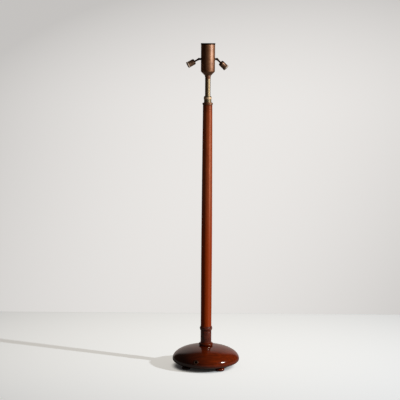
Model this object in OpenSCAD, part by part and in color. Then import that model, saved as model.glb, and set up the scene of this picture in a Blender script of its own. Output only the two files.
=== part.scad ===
// Candlestick floor lamp: turned base on four bun feet, leather-covered stem, brass mast that
// slides and turns in a clamp collar, copper cup with a lampholder and two hinged side lights.
// Origin on the floor under the stem's axis, +Z up, front of the lamp towards -Y.

/* [Base bun] */
// Radius of the bun at its widest line
bun_r = 138; // [115:1:160]
// Height of the widest line above the bun's underside
bun_belly_h = 19; // [14:0.5:26]
// Height of the crown above the widest line, if it ran on to the axis
bun_crown_h = 56.5; // [46:0.5:66]
// Fullness of the crown's curve, 2 is an ellipse
bun_fullness = 2.1; // [1.9:0.05:2.4]
// Width of the turn from the flat underside to the widest line
bun_turn_w = 44; // [39:1:47]

/* [Feet] */
// Height of a foot under the bun
foot_h = 12.5; // [10:0.5:20]
// Radius of a foot at its widest line
foot_r = 19; // [17:0.5:22]
// Radius of a foot's sole and of its neck
foot_neck_r = 12.5; // [10:0.5:13]
// How deep a foot's neck is let into the bun
foot_seat_h = 3.5; // [3:0.5:6]
// Radius of the tenon that is glued into the bun
foot_tenon_r = 6; // [4:0.5:8]
// Length of the tenon above the neck
foot_tenon_h = 14; // [8:1:20]
// How far in from the bun's widest line the feet stand
foot_inset = 39; // [36:0.5:42]
// Angle of the right front foot from the lamp's front
foot_turn = 36; // [20:1:50]

/* [Ballast and cover] */
// Room for the wires round the cast ballast disc
ballast_gap = 12; // [8:1:28]
// Thickness of the ballast disc
ballast_h = 24; // [16:1:28]
// Height of the pocket's ceiling above the bun's underside
pocket_h = 33.5; // [31:0.5:38]
// Wood left between a foot's seat and the cover's rebate
cover_wall = 3; // [2:0.25:6]
// Width of the ledge that the cover rests on
cover_ledge_w = 7.5; // [6.5:0.25:10]
// Thickness of the cover
cover_t = 3; // [2:0.25:3.5]
// Radius of a cover screw's shank
cover_screw_r = 1.5; // [1.2:0.1:1.8]
// Radius of a cover screw's head
cover_screw_head_r = 2.8; // [2.4:0.1:3]
// Length of a cover screw
cover_screw_h = 12; // [8:1:16]

/* [Tie rod] */
// Outer radius of the hollow threaded rod
rod_r = 5; // [4:0.25:6]
// Radius of the rod's bore, which the wires pass
rod_bore_r = 3.5; // [2.5:0.25:3.75]
// Radius of the washer under the ballast
washer_r = 12; // [10:0.5:13]
// Thickness of the washer
washer_t = 2; // [1:0.25:3]
// Width of the nut across its flats
rod_nut_af = 17; // [14:0.5:19]
// Height of the nut
rod_nut_h = 6; // [4:0.5:7]
// Radius of the sunk seat for nut and washer
nut_pit_r = 14; // [13.5:0.5:16]
// Depth of that seat
nut_pit_h = 9; // [8.5:0.5:12]

/* [Cord inlet] */
// Angle of the inlet to the left of the lamp's front
inlet_turn = 17.4; // [0:0.2:30]
// Height of the inlet's mouth above the bun's underside
inlet_h = 33.5; // [30:0.5:36]
// Slope of the inlet's axis above the level
inlet_tilt = 27; // [24:1:30]
// Length of the sloping drilling
inlet_depth = 42; // [36:1:46]
// Radius of the level drilling from the pocket
channel_r = 5; // [4:0.5:6]
// Radius of the eyelet's bore
eyelet_bore_r = 4.5; // [3.5:0.25:5.5]
// Outer radius of the eyelet's barrel
eyelet_r = 6.3; // [6:0.1:7.5]
// Length of the eyelet's barrel
eyelet_h = 18; // [12:1:24]
// Radius of the eyelet's flange
eyelet_flange_r = 9.8; // [8.5:0.1:11]
// Thickness of the eyelet's flange
eyelet_flange_t = 2.2; // [1.5:0.1:3]
// How deep the flange is let into the bun
eyelet_seat_h = 1.2; // [0.8:0.1:1.6]

/* [Column rings] */
// Radius of the half-round ring on the bun
flange_r = 29.5; // [26:0.5:32]
// Height of that ring
flange_h = 13; // [8:0.5:18]
// Radius of the plain ferrule
ferrule_r = 22.25; // [20:0.25:24]
// Height of the ferrule
ferrule_h = 51; // [30:1:80]
// Radius of the bead ring over the ferrule
bead_r = 25.7; // [24:0.1:28]
// Height of the bead ring
bead_h = 18; // [12:0.5:24]
// Height of the shoulders above and below the bead
bead_step_h = 2; // [1:0.25:3]

/* [Stem] */
// Length of the stem between the rings
stem_h = 912; // [700:1:1100]
// Outer radius at the stem's foot
stem_foot_r = 22.1; // [20.5:0.1:23]
// Outer radius at the stem's thickest place
stem_belly_r = 22.3; // [21:0.1:24]
// Height of the thickest place above the stem's foot
stem_belly_h = 281; // [200:1:340]
// Outer radius at the stem's top
stem_top_r = 19.2; // [17.5:0.1:20]
// Thickness of the leather
leather_t = 1.6; // [1:0.1:2]
// Radius of the well that the mast slides in
well_r = 13.25; // [13.05:0.05:14]
// Depth of the well
well_h = 430; // [425:1:520]
// Radius of the wire bore below the well
wire_bore_r = 7; // [5.5:0.5:9]
// Radius of the threaded plug in the stem's foot
plug_r = 13; // [11:0.5:15]
// Height of the plug
plug_h = 30; // [20:1:50]
// How far the tie rod is screwed into the plug
rod_grip_h = 27; // [15:1:28]

/* [Top collar] */
// Radius of the bead on the stem's top flange
top_flange_r = 21.5; // [20.5:0.25:24]
// Height of that bead
top_bead_h = 10; // [6:0.5:12]
// Radius of the step over the bead
top_step_r = 15.5; // [15:0.25:18]
// Height of the step
top_step_h = 2; // [1:0.5:5]
// Length of the spigot that holds the flange in the well
spigot_h = 40; // [25:1:60]
// Wall of the spigot's bottom lip
spigot_lip_h = 2; // [1:0.5:4]
// Radius of the seat for guide bush and collet
bush_seat_r = 12.2; // [12:0.05:12.4]
// Radius of the threaded neck over the step
neck_r = 13.1; // [12.9:0.05:13.2]
// Height of the threaded neck
neck_h = 13; // [8:0.5:13.5]
// How far the guide bush stands up into the neck
bush_rise_h = 3; // [1:0.5:5]
// Length of the collet
collet_h = 17.7; // [13:0.1:17.8]
// Number of slits in the collet
collet_slits = 3; // [2:1:6]
// Width of a slit
collet_slit_w = 0.9; // [0.5:0.1:1.5]
// Height of the clamp nut
clamp_h = 24; // [23.5:0.5:32]
// Radius of the clamp nut's knurled band
clamp_band_r = 16; // [15.2:0.1:18]
// Height of the knurled band
clamp_band_h = 8; // [4:0.5:9]
// Radius of the clamp nut over the band
clamp_r = 15; // [14.4:0.1:15.1]
// Height of the clamp nut's foot under the band
clamp_foot_h = 11.5; // [3:0.5:12]
// Radius of the clamp nut's foot
clamp_foot_r = 14.9; // [14:0.1:15]

/* [Mast] */
// Outer radius of the mast tube
mast_r = 11; // [10.85:0.05:11.1]
// Wall of the mast tube
mast_t = 1.5; // [1:0.1:2]
// Length of the mast tube
mast_h = 455; // [440:1:470]
// Length of mast that shows over the clamp nut as drawn
mast_show_h = 69; // [66:1:80]
// Height of the glide ring on the mast's foot
glide_h = 9; // [6:0.5:14]
// Thickness of the plug's flange under the glide ring
end_flange_h = 3; // [2:0.5:4]
// Radius of that flange and of the clip over the ring
end_flange_r = 12.4; // [12:0.1:12.8]
// Length of the end plug inside the tube
end_spigot_h = 12; // [8:1:20]
// Radius of the end plug's wire hole
end_bore_r = 4; // [3:0.5:6]
// Thickness of the clip over the glide ring
clip_h = 1; // [0.8:0.1:1.4]
// Depth of the clip's groove in the tube
clip_groove = 0.5; // [0.3:0.05:0.7]

/* [Cup] */
// Outer radius of the cup
cup_r = 28.5; // [26.5:0.1:29]
// Thickness of the cup's sheet
cup_t = 1.2; // [0.8:0.1:1.6]
// Height of the cup from its floor to its edge
cup_h = 129.5; // [124:0.5:140]
// Radius of the turn between the cup's cone and its wall
cup_turn_r = 7; // [4:0.5:9]
// Radius of the cup's flat bottom
cup_foot_r = 12.3; // [12:0.1:13]
// Radius of the rolled rim ring
rim_r = 29.5; // [29:0.05:31]
// Height of the rim ring
rim_h = 6.4; // [4:0.2:9]
// Thickness of the rim ring over the cup's edge
rim_top_h = 0.9; // [0.6:0.1:1.4]
// How far the rim ring reaches in over the edge
rim_lip = 1.4; // [1.2:0.1:2.4]
// Radius of the neck under the cup
cup_neck_r = 11.75; // [11.6:0.05:12.2]
// Height of the neck under the cup
cup_neck_h = 13.5; // [9:0.5:18]
// Length of the neck's spigot in the mast tube
cup_spigot_h = 20; // [12:1:30]
// Outer radius of the threaded nipple
nipple_r = 5; // [4:0.25:6]
// Radius of the nipple's bore
nipple_bore_r = 3.6; // [2.5:0.1:3.7]
// How far the nipple reaches down into the neck
nipple_grip_h = 22; // [14:1:28]
// Width of the cup's lock nut across its flats
locknut_af = 16; // [14:0.5:18]
// Height of the lock nut
locknut_h = 5; // [3:0.5:7]

/* [Main lampholder] */
// Outer radius of the porcelain body
holder_r = 20; // [18.5:0.25:21]
// Height of the porcelain body
holder_h = 42; // [38:0.5:46]
// Depth of its top under the rim
holder_sunk = 11; // [9:0.5:14]
// Thickness of the body's floor
holder_floor_h = 13; // [10:0.5:15]
// Inner radius of the lamp cap's screw shell
shell_bore_r = 13.25; // [13.2:0.05:13.5]
// Wall of the screw shell
shell_t = 0.4; // [0.3:0.05:0.5]
// Height of the screw shell
shell_h = 25; // [20:0.5:26]
// Height of the metal cap under the body
holder_cap_h = 27; // [24:0.5:30]
// Wall of the metal cap
holder_cap_t = 1.2; // [0.8:0.1:1.6]
// Radius of the cap's threaded boss
holder_boss_r = 7.5; // [7:0.25:9]
// Height of the boss
holder_boss_h = 10; // [8:0.5:13]
// How far the nipple reaches into the boss
holder_grip_h = 8; // [5:0.5:10]
// Height of the cap's straight edge
holder_edge_h = 4; // [2:0.5:6]
// Radius of the circle of the holder's screws
holder_screw_circle_r = 9.5; // [9:0.1:10]
// Radius of a holder screw's shank
holder_screw_r = 1.5; // [1.2:0.1:1.8]
// Radius of a holder screw's head
holder_screw_head_r = 2.8; // [2.4:0.1:3]
// Height of a holder screw's head
holder_screw_head_h = 2; // [1.4:0.1:2.6]
// How far a holder screw reaches into its post
holder_screw_hold = 10; // [6:0.5:10.5]
// Radius of the posts in the cap that take the screws
holder_post_r = 3; // [2.6:0.1:3.4]
// Radius of the centre contact
contact_r = 4; // [3:0.25:5]
// Height of the centre contact's button
contact_h = 2; // [1.8:0.05:2.1]
// Size of a terminal block
terminal_w = 6; // [4:0.5:7]
// Radius of a terminal's wire hole
terminal_hole_r = 1.2; // [0.8:0.1:1.6]

/* [Side lights] */
// Turn of the line of side lights about the axis as drawn
side_turn = 12; // [0:1:20]
// Height of the side lights over the cup's bottom
side_h = 66.5; // [62:0.5:70]
// Distance of the knuckle pins from the axis
pivot_r = 37.2; // [37:0.1:41]
// Slope of the left light below the level as drawn
left_tilt = 28; // [0:1:60]
// Slope of the right light below the level as drawn
right_tilt = 43; // [0:1:60]
// Radius of stub and arm
arm_r = 3.6; // [3.2:0.1:4]
// Radius of their wire bore
arm_bore_r = 2; // [1.4:0.1:2.4]
// Radius of the knuckle
knuckle_r = 5; // [4.6:0.1:5.3]
// Thickness of the stub's tongue
tongue_t = 3.2; // [2.4:0.1:3.6]
// Thickness of one ear of the arm's fork
ear_t = 2.1; // [1.6:0.1:2.6]
// Radius of the knuckle screw
pin_r = 1.7; // [1.4:0.05:2]
// Radius of the knuckle screw's head and nut
pin_head_r = 3.2; // [2.8:0.1:4]
// Thickness of the knuckle screw's head
pin_head_t = 1.6; // [1.2:0.1:2.4]
// Radius of the stub's collar on the cup
stub_collar_r = 5.2; // [5:0.1:6]
// Thickness of that collar
stub_collar_t = 1.6; // [1:0.1:1.8]
// Width of the stub nut across its flats
stub_nut_af = 11; // [9.5:0.5:12]
// Thickness of the stub nut
stub_nut_t = 3.6; // [2.5:0.1:4]
// Distance from the knuckle pin to the socket
arm_reach = 20; // [18:0.5:30]
// Length of the socket's cap
socket_cap_h = 6.5; // [5:0.25:9]
// Radius of the socket's cap
socket_cap_r = 11.7; // [11.6:0.1:12.2]
// Wall of the socket's cap
socket_cap_t = 1.2; // [0.8:0.1:1.6]
// Length of the socket's brass sleeve
sleeve_h = 22; // [21.5:0.5:28]
// Radius of the sleeve
sleeve_r = 12.3; // [12.1:0.1:13]
// Wall of the sleeve
sleeve_t = 0.8; // [0.6:0.1:1.2]
// Length of the porcelain ring at the mouth
mouth_h = 4; // [3:0.25:6]
// Radius of the mouth ring
mouth_r = 13; // [12.4:0.1:13.4]
// Inner radius of the mouth ring
mouth_bore_r = 8.2; // [7.8:0.1:9]
// Inner radius of the small screw shell
small_bore_r = 6.95; // [6.9:0.05:7.1]
// Wall of the small screw shell
small_shell_t = 0.4; // [0.3:0.05:0.5]
// Length of the small screw shell
small_shell_h = 15; // [12:0.5:15]
// Thickness of the floor of the socket's porcelain core
core_floor_h = 4; // [3:0.25:6]

/* [Fits] */
// Radial gap of a shaft that runs in a bush
run_gap = 0.04; // [0.02:0.01:0.08]
// Radial gap between pieces that are fitted together
fit_gap = 0.1; // [0.05:0.01:0.15]
// Gap between faces that move past each other
side_gap = 0.15; // [0.1:0.01:0.3]
// Gap round a screw that passes a hole
screw_gap = 0.3; // [0.1:0.05:0.4]

/* [Hidden] */
$fn = 96;

// Steps of a turned curve and a length that clears any cut
curve_steps = 24;
cut = 1;
feet = 4;
cover_screws_n = 4;

// Heights of the stack above the floor
seat_a = acos(pow((flange_r + 1) / bun_r, bun_fullness / 2));
bun_h = bun_belly_h + bun_crown_h * pow(sin(seat_a), 2 / bun_fullness);
flange_z = foot_h + bun_h;
ferrule_z = flange_z + flange_h;
bead_z = ferrule_z + ferrule_h;
stem_z = bead_z + bead_h;
top_z = stem_z + stem_h;
clamp_z = top_z + top_bead_h + top_step_h;
mast_top_z = clamp_z + clamp_h + mast_show_h;
mast_foot_z = mast_top_z - mast_h;
cup_z = mast_top_z + cup_neck_h;
lamp_z = cup_z + cup_h + rim_top_h;
side_z = cup_z + side_h;
holder_top_z = lamp_z - holder_sunk;
holder_z = holder_top_z - holder_h;
holder_cap_z = holder_z - holder_cap_h;

// Base, from the outside in
bun_sole_r = bun_r - bun_turn_w;
foot_circle_r = bun_r - foot_inset;
cover_r = foot_circle_r - foot_neck_r - cover_wall;
pocket_r = cover_r - cover_ledge_w;
cover_screw_circle_r = pocket_r + cover_ledge_w / 2;
ballast_r = pocket_r - ballast_gap;

// Ballast pocket
pocket_z = foot_h + pocket_h;
ballast_z = pocket_z - ballast_h;
washer_z = ballast_z + nut_pit_h - washer_t;
rod_nut_z = washer_z - rod_nut_h;
rod_foot_z = ballast_z;
rod_top_z = stem_z + rod_grip_h;

// Radius of the bun at a height above its underside
function bun_r_at(h) = h < bun_belly_h
    ? bun_sole_r + (bun_r - bun_sole_r) * sqrt(1 - pow(1 - h / bun_belly_h, 2))
    : bun_r * pow(1 - pow((h - bun_belly_h) / bun_crown_h, bun_fullness), 1 / bun_fullness);

// Outer radius of the stem at a height above its foot, swelling up to the thickest place
taper_power = 1.45;
function stem_r_at(h) = h < stem_belly_h
    ? stem_foot_r + (stem_belly_r - stem_foot_r) * h / stem_belly_h
    : stem_belly_r - (stem_belly_r - stem_top_r)
        * pow((h - stem_belly_h) / (stem_h - stem_belly_h), taper_power);

// Points of an arc in the plane of a turned outline
function arc(r, z, rad_r, rad_z, from, to, steps) =
    [for (i = [0 : steps]) let (a = from + (to - from) * i / steps)
        [r + rad_r * cos(a), z + rad_z * sin(a)]];

// Broken edges and small steps
rim_edge = 0.4;
clamp_edge = 2;
mouth_edge = 1;
mouth_lip = 0.6;
neck_flare_h = 3;
bead_step_w = 1;
stub_end_h = 1;

// Collar
bush_bore_r = mast_r + run_gap;
bush_r = bush_seat_r - fit_gap / 2;
bush_top_z = clamp_z + bush_rise_h;
spigot_z = top_z - spigot_h;
spigot_r = well_r - fit_gap;
clamp_bore_r = neck_r + side_gap;
collet_head_r = neck_r - side_gap;
clamp_lip_h = 3;
clamp_lip_r = mast_r + 2 * side_gap;
collet_cone = 1.2;

// Mast foot
glide_z = mast_foot_z + side_gap;
clip_z = glide_z + glide_h + side_gap;
mast_bore_r = mast_r - mast_t;

// Cup outline: a cone at 45 degrees under a round turn
turn_c_r = cup_r - cup_turn_r;
turn_c_z = turn_c_r - cup_foot_r + cup_turn_r * sqrt(2);
turn_in_r = cup_turn_r - cup_t;
cup_in_r = cup_r - cup_t;
cone_in_r = turn_c_r - turn_c_z + turn_in_r * sqrt(2) + cup_t;

// Lampholder
holder_bore_r = shell_bore_r + shell_t + fit_gap;
holder_seat_z = holder_z + holder_floor_h;
shell_z = holder_seat_z + holder_screw_head_h + side_gap;
boss_hole_r = nipple_r + fit_gap / 2;

// Side lights, measured from the knuckle pin
// the flat nut bears on the cup's curved wall at its corners
stub_nut_r = sqrt(pow(cup_in_r, 2) - pow(stub_nut_af / sqrt(3), 2)) - fit_gap - stub_nut_t;
stub_in_r = stub_nut_r - stub_end_h;
stub_face_r = cup_r + stub_collar_t;
fork_w = tongue_t + 2 * side_gap + 2 * ear_t;
fork_root = knuckle_r + 2 * side_gap;
fork_root_h = 3;
arm_end_h = 1.5;
screw_tail_h = 0.5;
socket_core_r = sleeve_r - sleeve_t - fit_gap;
sleeve_x = arm_reach + socket_cap_h;
arm_end_x = arm_reach + socket_cap_t + arm_end_h;
mouth_x = sleeve_x + sleeve_h;
small_shell_r = small_bore_r + small_shell_t;
small_contact_r = 3;
small_contact_h = 2.5;
contact_t = 0.8;
small_seat_w = 0.4;
small_pit_r = small_bore_r - small_seat_w;
small_shell_x = sleeve_x + core_floor_h + small_contact_h + side_gap;

// ---- outlines and placing -------------------------------------------------------------

module turned(points) {
    rotate_extrude() polygon(points);
}

module ring(r_out, r_in, h) {
    difference() {
        cylinder(r = r_out, h = h);
        translate([0, 0, -cut]) cylinder(r = r_in, h = h + 2 * cut);
    }
}

module at_z(z) {
    translate([0, 0, z]) children();
}

// Turns a piece made along +Z to lie along +X
module along_x() {
    rotate([0, 90, 0]) children();
}

module hex_nut(af, r_in, h) {
    difference() {
        cylinder(r = af / sqrt(3), h = h, $fn = 6);
        translate([0, 0, -cut]) cylinder(r = r_in, h = h + 2 * cut);
    }
}

// Angle of foot number i about the axis
function foot_angle(i) = -90 + foot_turn + 360 / feet * i;

module at_foot(i) {
    rotate([0, 0, foot_angle(i)]) translate([foot_circle_r, 0, 0]) children();
}

module at_cover_screws() {
    for (i = [0 : cover_screws_n - 1])
        rotate([0, 0, foot_angle(0) + 180 / feet + 360 / cover_screws_n * i])
            translate([cover_screw_circle_r, 0, 0]) children();
}

// The inlet's mouth: children lie along +X, out of the bun
module at_inlet() {
    rotate([0, 0, -90 - inlet_turn])
        translate([bun_r_at(inlet_h), 0, foot_h + inlet_h])
            rotate([0, -inlet_tilt, 0]) children();
}

// ---- base -------------------------------------------------------------------------------

module bun_outline() {
    polygon(concat(
        [[0, 0]],
        arc(bun_sole_r, bun_belly_h, bun_r - bun_sole_r, bun_belly_h, -90, 0, curve_steps / 2),
        [for (i = [1 : curve_steps]) let (a = seat_a * i / curve_steps)
            [bun_r * pow(cos(a), 2 / bun_fullness),
             bun_belly_h + bun_crown_h * pow(sin(a), 2 / bun_fullness)]],
        [[0, bun_h]]));
}

module base_bun() {
    knee_r = bun_r_at(inlet_h) - inlet_depth * cos(inlet_tilt);
    knee_z = foot_h + inlet_h - inlet_depth * sin(inlet_tilt);
    color([0.30, 0.10, 0.05])
    difference() {
        at_z(foot_h) rotate_extrude() bun_outline();
        // pocket for the ballast, and the rebate of its cover
        at_z(foot_h - cut) cylinder(r = pocket_r, h = pocket_h + cut);
        at_z(foot_h - cut) cylinder(r = cover_r + fit_gap, h = cover_t + cut);
        at_cover_screws() at_z(foot_h)
            cylinder(r = cover_screw_r + fit_gap / 2, h = cover_screw_h + cut);
        // way of the tie rod, which the wires follow
        cylinder(r = rod_r + screw_gap, h = flange_z + cut);
        // seats of the feet
        for (i = [0 : feet - 1]) at_foot(i) {
            cylinder(r = foot_neck_r + fit_gap, h = foot_h + foot_seat_h);
            cylinder(r = foot_tenon_r + fit_gap, h = foot_h + foot_seat_h + foot_tenon_h + cut);
        }
        // sloping drilling, its sunk mouth, and the level drilling from the pocket
        at_inlet() {
            translate([-inlet_depth, 0, 0]) along_x()
                cylinder(r = eyelet_r + fit_gap, h = 2 * inlet_depth);
            translate([-eyelet_seat_h, 0, 0]) along_x()
                cylinder(r = eyelet_flange_r + fit_gap, h = inlet_depth);
        }
        rotate([0, 0, -90 - inlet_turn]) translate([pocket_r - channel_r, 0, knee_z])
            along_x() cylinder(r = channel_r, h = knee_r - pocket_r + 2 * channel_r);
    }
}

module foot(i) {
    color([0.26, 0.09, 0.05])
    at_foot(i) {
        turned(concat(
            [[0, 0]],
            arc(foot_neck_r, foot_h / 2, foot_r - foot_neck_r, foot_h / 2, -90, 90, curve_steps / 2),
            [[foot_neck_r, foot_h + foot_seat_h],
             [foot_tenon_r, foot_h + foot_seat_h],
             [foot_tenon_r, foot_h + foot_seat_h + foot_tenon_h],
             [0, foot_h + foot_seat_h + foot_tenon_h]]));
    }
}

module ballast_disc() {
    color([0.25, 0.25, 0.26])
    difference() {
        at_z(ballast_z) cylinder(r = ballast_r, h = ballast_h);
        at_z(ballast_z - cut) cylinder(r = rod_r + screw_gap, h = ballast_h + 2 * cut);
        at_z(ballast_z - cut) cylinder(r = nut_pit_r, h = nut_pit_h + cut);
    }
}

module base_cover() {
    color([0.45, 0.35, 0.24])
    difference() {
        at_z(foot_h) cylinder(r = cover_r, h = cover_t);
        at_cover_screws() at_z(foot_h - cut) {
            cylinder(r = cover_screw_r + screw_gap, h = cover_t + 2 * cut);
            cylinder(r = cover_screw_head_r + fit_gap, h = cover_t / 2 + cut);
        }
    }
}

module cover_screws() {
    color([0.70, 0.60, 0.35])
    at_cover_screws() at_z(foot_h) {
        cylinder(r = cover_screw_head_r, h = cover_t / 2);
        cylinder(r = cover_screw_r, h = cover_screw_h);
    }
}

module cord_eyelet() {
    edge = eyelet_flange_t / 2;
    color([0.42, 0.20, 0.12])
    at_inlet() along_x() at_z(-eyelet_seat_h) turned(concat(
        [[eyelet_bore_r, -eyelet_h], [eyelet_r, -eyelet_h], [eyelet_r, 0]],
        arc(eyelet_flange_r - edge, edge, edge, edge, -90, 90, curve_steps / 4),
        [[eyelet_bore_r + edge, eyelet_flange_t], [eyelet_bore_r, edge]]));
}

module tie_rod() {
    color([0.72, 0.70, 0.64])
    at_z(rod_foot_z) ring(rod_r, rod_bore_r, rod_top_z - rod_foot_z);
}

module tie_washer() {
    color([0.68, 0.68, 0.68])
    at_z(washer_z) ring(washer_r, rod_r + fit_gap, washer_t);
}

module tie_nut() {
    color([0.72, 0.68, 0.60])
    at_z(rod_nut_z) hex_nut(rod_nut_af, rod_r + fit_gap / 2, rod_nut_h);
}

// ---- column -----------------------------------------------------------------------------

module base_flange() {
    edge = flange_h / 2;
    bore_r = rod_r + screw_gap;
    color([0.28, 0.09, 0.05])
    at_z(flange_z) turned(concat(
        [[bore_r, 0]],
        arc(flange_r - edge, edge, edge, edge, -90, 90, curve_steps / 2),
        [[bore_r, flange_h]]));
}

module ferrule() {
    color([0.33, 0.12, 0.08])
    at_z(ferrule_z) ring(ferrule_r, rod_r + screw_gap, ferrule_h);
}

module bead_ring() {
    bore_r = rod_r + screw_gap;
    shoulder_r = stem_foot_r + bead_step_w;
    color([0.33, 0.12, 0.08])
    at_z(bead_z) turned(concat(
        [[bore_r, 0], [shoulder_r, 0]],
        arc(shoulder_r, bead_h / 2, bead_r - shoulder_r, bead_h / 2 - bead_step_h, -90, 90, curve_steps / 2),
        [[shoulder_r, bead_h], [bore_r, bead_h]]));
}

// Points up the stem's side, taken in by a given depth
function stem_side(depth) = concat(
    [[stem_foot_r - depth, 0]],
    [for (i = [0 : curve_steps]) let (h = stem_belly_h + (stem_h - stem_belly_h) * i / curve_steps)
        [stem_r_at(h) - depth, h]]);

function backwards(points) = [for (i = [len(points) - 1 : -1 : 0]) points[i]];

module stem_core() {
    color([0.62, 0.45, 0.28])
    at_z(stem_z) difference() {
        turned(concat([[0, 0]], stem_side(leather_t + fit_gap / 2), [[0, stem_h]]));
        at_z(stem_h - well_h) cylinder(r = well_r, h = well_h + cut);
        at_z(-cut) cylinder(r = wire_bore_r, h = stem_h);
        at_z(-cut) cylinder(r = plug_r + fit_gap, h = plug_h + cut);
    }
}

module leather_sleeve() {
    color([0.66, 0.31, 0.16])
    at_z(stem_z) turned(concat(stem_side(0), backwards(stem_side(leather_t))));
}

module stem_foot_plug() {
    color([0.70, 0.60, 0.38])
    at_z(stem_z) ring(plug_r, rod_r + fit_gap / 2, plug_h);
}

module top_flange() {
    edge = top_bead_h / 2;
    color([0.50, 0.30, 0.16])
    union() {
        at_z(top_z) turned(concat(
            [[bush_seat_r, 0]],
            arc(top_flange_r - edge, edge, edge, edge, -90, 90, curve_steps / 2),
            [[top_step_r, top_bead_h], [top_step_r, top_bead_h + top_step_h],
             [neck_r, top_bead_h + top_step_h], [neck_r, top_bead_h + top_step_h + neck_h],
             [bush_seat_r, top_bead_h + top_step_h + neck_h]]));
        at_z(spigot_z) ring(spigot_r, bush_seat_r, spigot_h);
        at_z(spigot_z) ring(spigot_r, bush_bore_r + side_gap, spigot_lip_h);
    }
}

module guide_bush() {
    foot = spigot_z + spigot_lip_h;
    color([0.78, 0.62, 0.30])
    at_z(foot) ring(bush_r, bush_bore_r, bush_top_z - foot);
}

module collet() {
    // the head stands over the threaded neck, where the nut presses it
    head_h = neck_h - bush_rise_h + side_gap;
    color([0.80, 0.66, 0.36])
    at_z(bush_top_z) difference() {
        union() {
            ring(bush_r, bush_bore_r, collet_h);
            turned([
                [bush_bore_r, head_h], [collet_head_r, head_h],
                [collet_head_r, collet_h - collet_cone], [collet_head_r - collet_cone, collet_h],
                [bush_bore_r, collet_h]]);
        }
        for (i = [0 : collet_slits - 1]) rotate([0, 0, 360 / collet_slits * i])
            translate([0, -collet_slit_w / 2, collet_h / 3]) cube([2 * bush_r, collet_slit_w, collet_h]);
    }
}

module clamp_nut() {
    band_z = clamp_foot_h + clamp_band_h;
    hollow_h = clamp_h - clamp_lip_h;
    color([0.82, 0.70, 0.42])
    at_z(clamp_z) difference() {
        turned([
            [0, side_gap], [clamp_foot_r, side_gap], [clamp_foot_r, clamp_foot_h],
            [clamp_band_r, clamp_foot_h], [clamp_band_r, band_z], [clamp_r, band_z],
            [clamp_r, clamp_h - clamp_edge], [clamp_r - clamp_edge, clamp_h], [0, clamp_h]]);
        // threaded bore, with the cone that closes the collet
        turned([
            [0, -cut], [clamp_bore_r, -cut], [clamp_bore_r, hollow_h - collet_cone],
            [clamp_bore_r - collet_cone, hollow_h], [0, hollow_h]]);
        at_z(-cut) cylinder(r = clamp_lip_r, h = clamp_h + 2 * cut);
    }
}

// ---- mast -------------------------------------------------------------------------------

module mast_glide_ring() {
    color([0.75, 0.68, 0.52])
    at_z(glide_z) ring(well_r - run_gap, bush_bore_r, glide_h);
}

module mast_end_plug() {
    color([0.78, 0.62, 0.30])
    at_z(mast_foot_z - end_flange_h) difference() {
        union() {
            cylinder(r = end_flange_r, h = end_flange_h);
            cylinder(r = mast_bore_r - fit_gap / 2, h = end_flange_h + end_spigot_h);
        }
        at_z(-cut) cylinder(r = end_bore_r, h = end_flange_h + end_spigot_h + 2 * cut);
    }
}

module mast_clip() {
    color([0.65, 0.65, 0.66])
    at_z(clip_z) ring(end_flange_r, mast_r - clip_groove + fit_gap / 2, clip_h);
}

module mast_tube() {
    color([0.80, 0.68, 0.40])
    difference() {
        at_z(mast_foot_z) ring(mast_r, mast_bore_r, mast_h);
        at_z(clip_z - fit_gap) ring(mast_r + cut, mast_r - clip_groove, clip_h + 2 * fit_gap);
    }
}

module cup_neck() {
    color([0.55, 0.33, 0.20])
    at_z(mast_top_z) difference() {
        union() {
            turned([
                [0, 0], [cup_neck_r, 0], [cup_neck_r, cup_neck_h - neck_flare_h],
                [cup_foot_r, cup_neck_h], [0, cup_neck_h]]);
            at_z(-cup_spigot_h) cylinder(r = mast_bore_r - fit_gap / 2, h = cup_spigot_h + cut);
        }
        at_z(-cup_spigot_h - cut) cylinder(r = boss_hole_r, h = cup_spigot_h + cup_neck_h + 2 * cut);
    }
}

module nipple() {
    foot = cup_z - nipple_grip_h;
    color([0.72, 0.70, 0.64])
    at_z(foot) ring(nipple_r, nipple_bore_r, holder_cap_z + holder_grip_h - foot);
}

module cup_shell() {
    color([0.55, 0.33, 0.20])
    difference() {
        at_z(cup_z) turned(concat(
            [[boss_hole_r, 0], [cup_foot_r, 0]],
            arc(turn_c_r, turn_c_z, cup_turn_r, cup_turn_r, -45, 0, curve_steps / 3),
            [[cup_r, cup_h], [cup_in_r, cup_h]],
            arc(turn_c_r, turn_c_z, turn_in_r, turn_in_r, 0, -45, curve_steps / 3),
            [[cone_in_r, cup_t], [boss_hole_r, cup_t]]));
        for (side = [0, 180]) rotate([0, 0, side_turn + side]) translate([0, 0, side_z])
            along_x() cylinder(r = arm_r + fit_gap, h = cup_r + cut);
    }
}

module cup_rim_ring() {
    skirt_r = cup_r + fit_gap / 2;
    color([0.26, 0.15, 0.09])
    at_z(lamp_z - rim_h) turned([
        [skirt_r, 0], [rim_r - rim_edge, 0], [rim_r, rim_edge],
        [rim_r, rim_h - rim_edge], [rim_r - rim_edge, rim_h],
        [cup_r - rim_lip, rim_h], [cup_r - rim_lip, rim_h - rim_top_h], [skirt_r, rim_h - rim_top_h]]);
}

module cup_locknut() {
    color([0.74, 0.62, 0.36])
    at_z(cup_z + cup_t) hex_nut(locknut_af, boss_hole_r, locknut_h);
}

// ---- main lampholder --------------------------------------------------------------------

// A rivet through a porcelain floor, with a plate and a button on it
module contact(r, floor_h, h) {
    cylinder(r = r / 2, h = floor_h + contact_t);
    at_z(floor_h) turned([[0, 0], [r, 0], [r, contact_t], [r / 2, h], [0, h]]);
}

module at_holder_screws() {
    for (side = [-1, 1]) translate([side * holder_screw_circle_r, 0, 0]) children();
}

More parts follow.
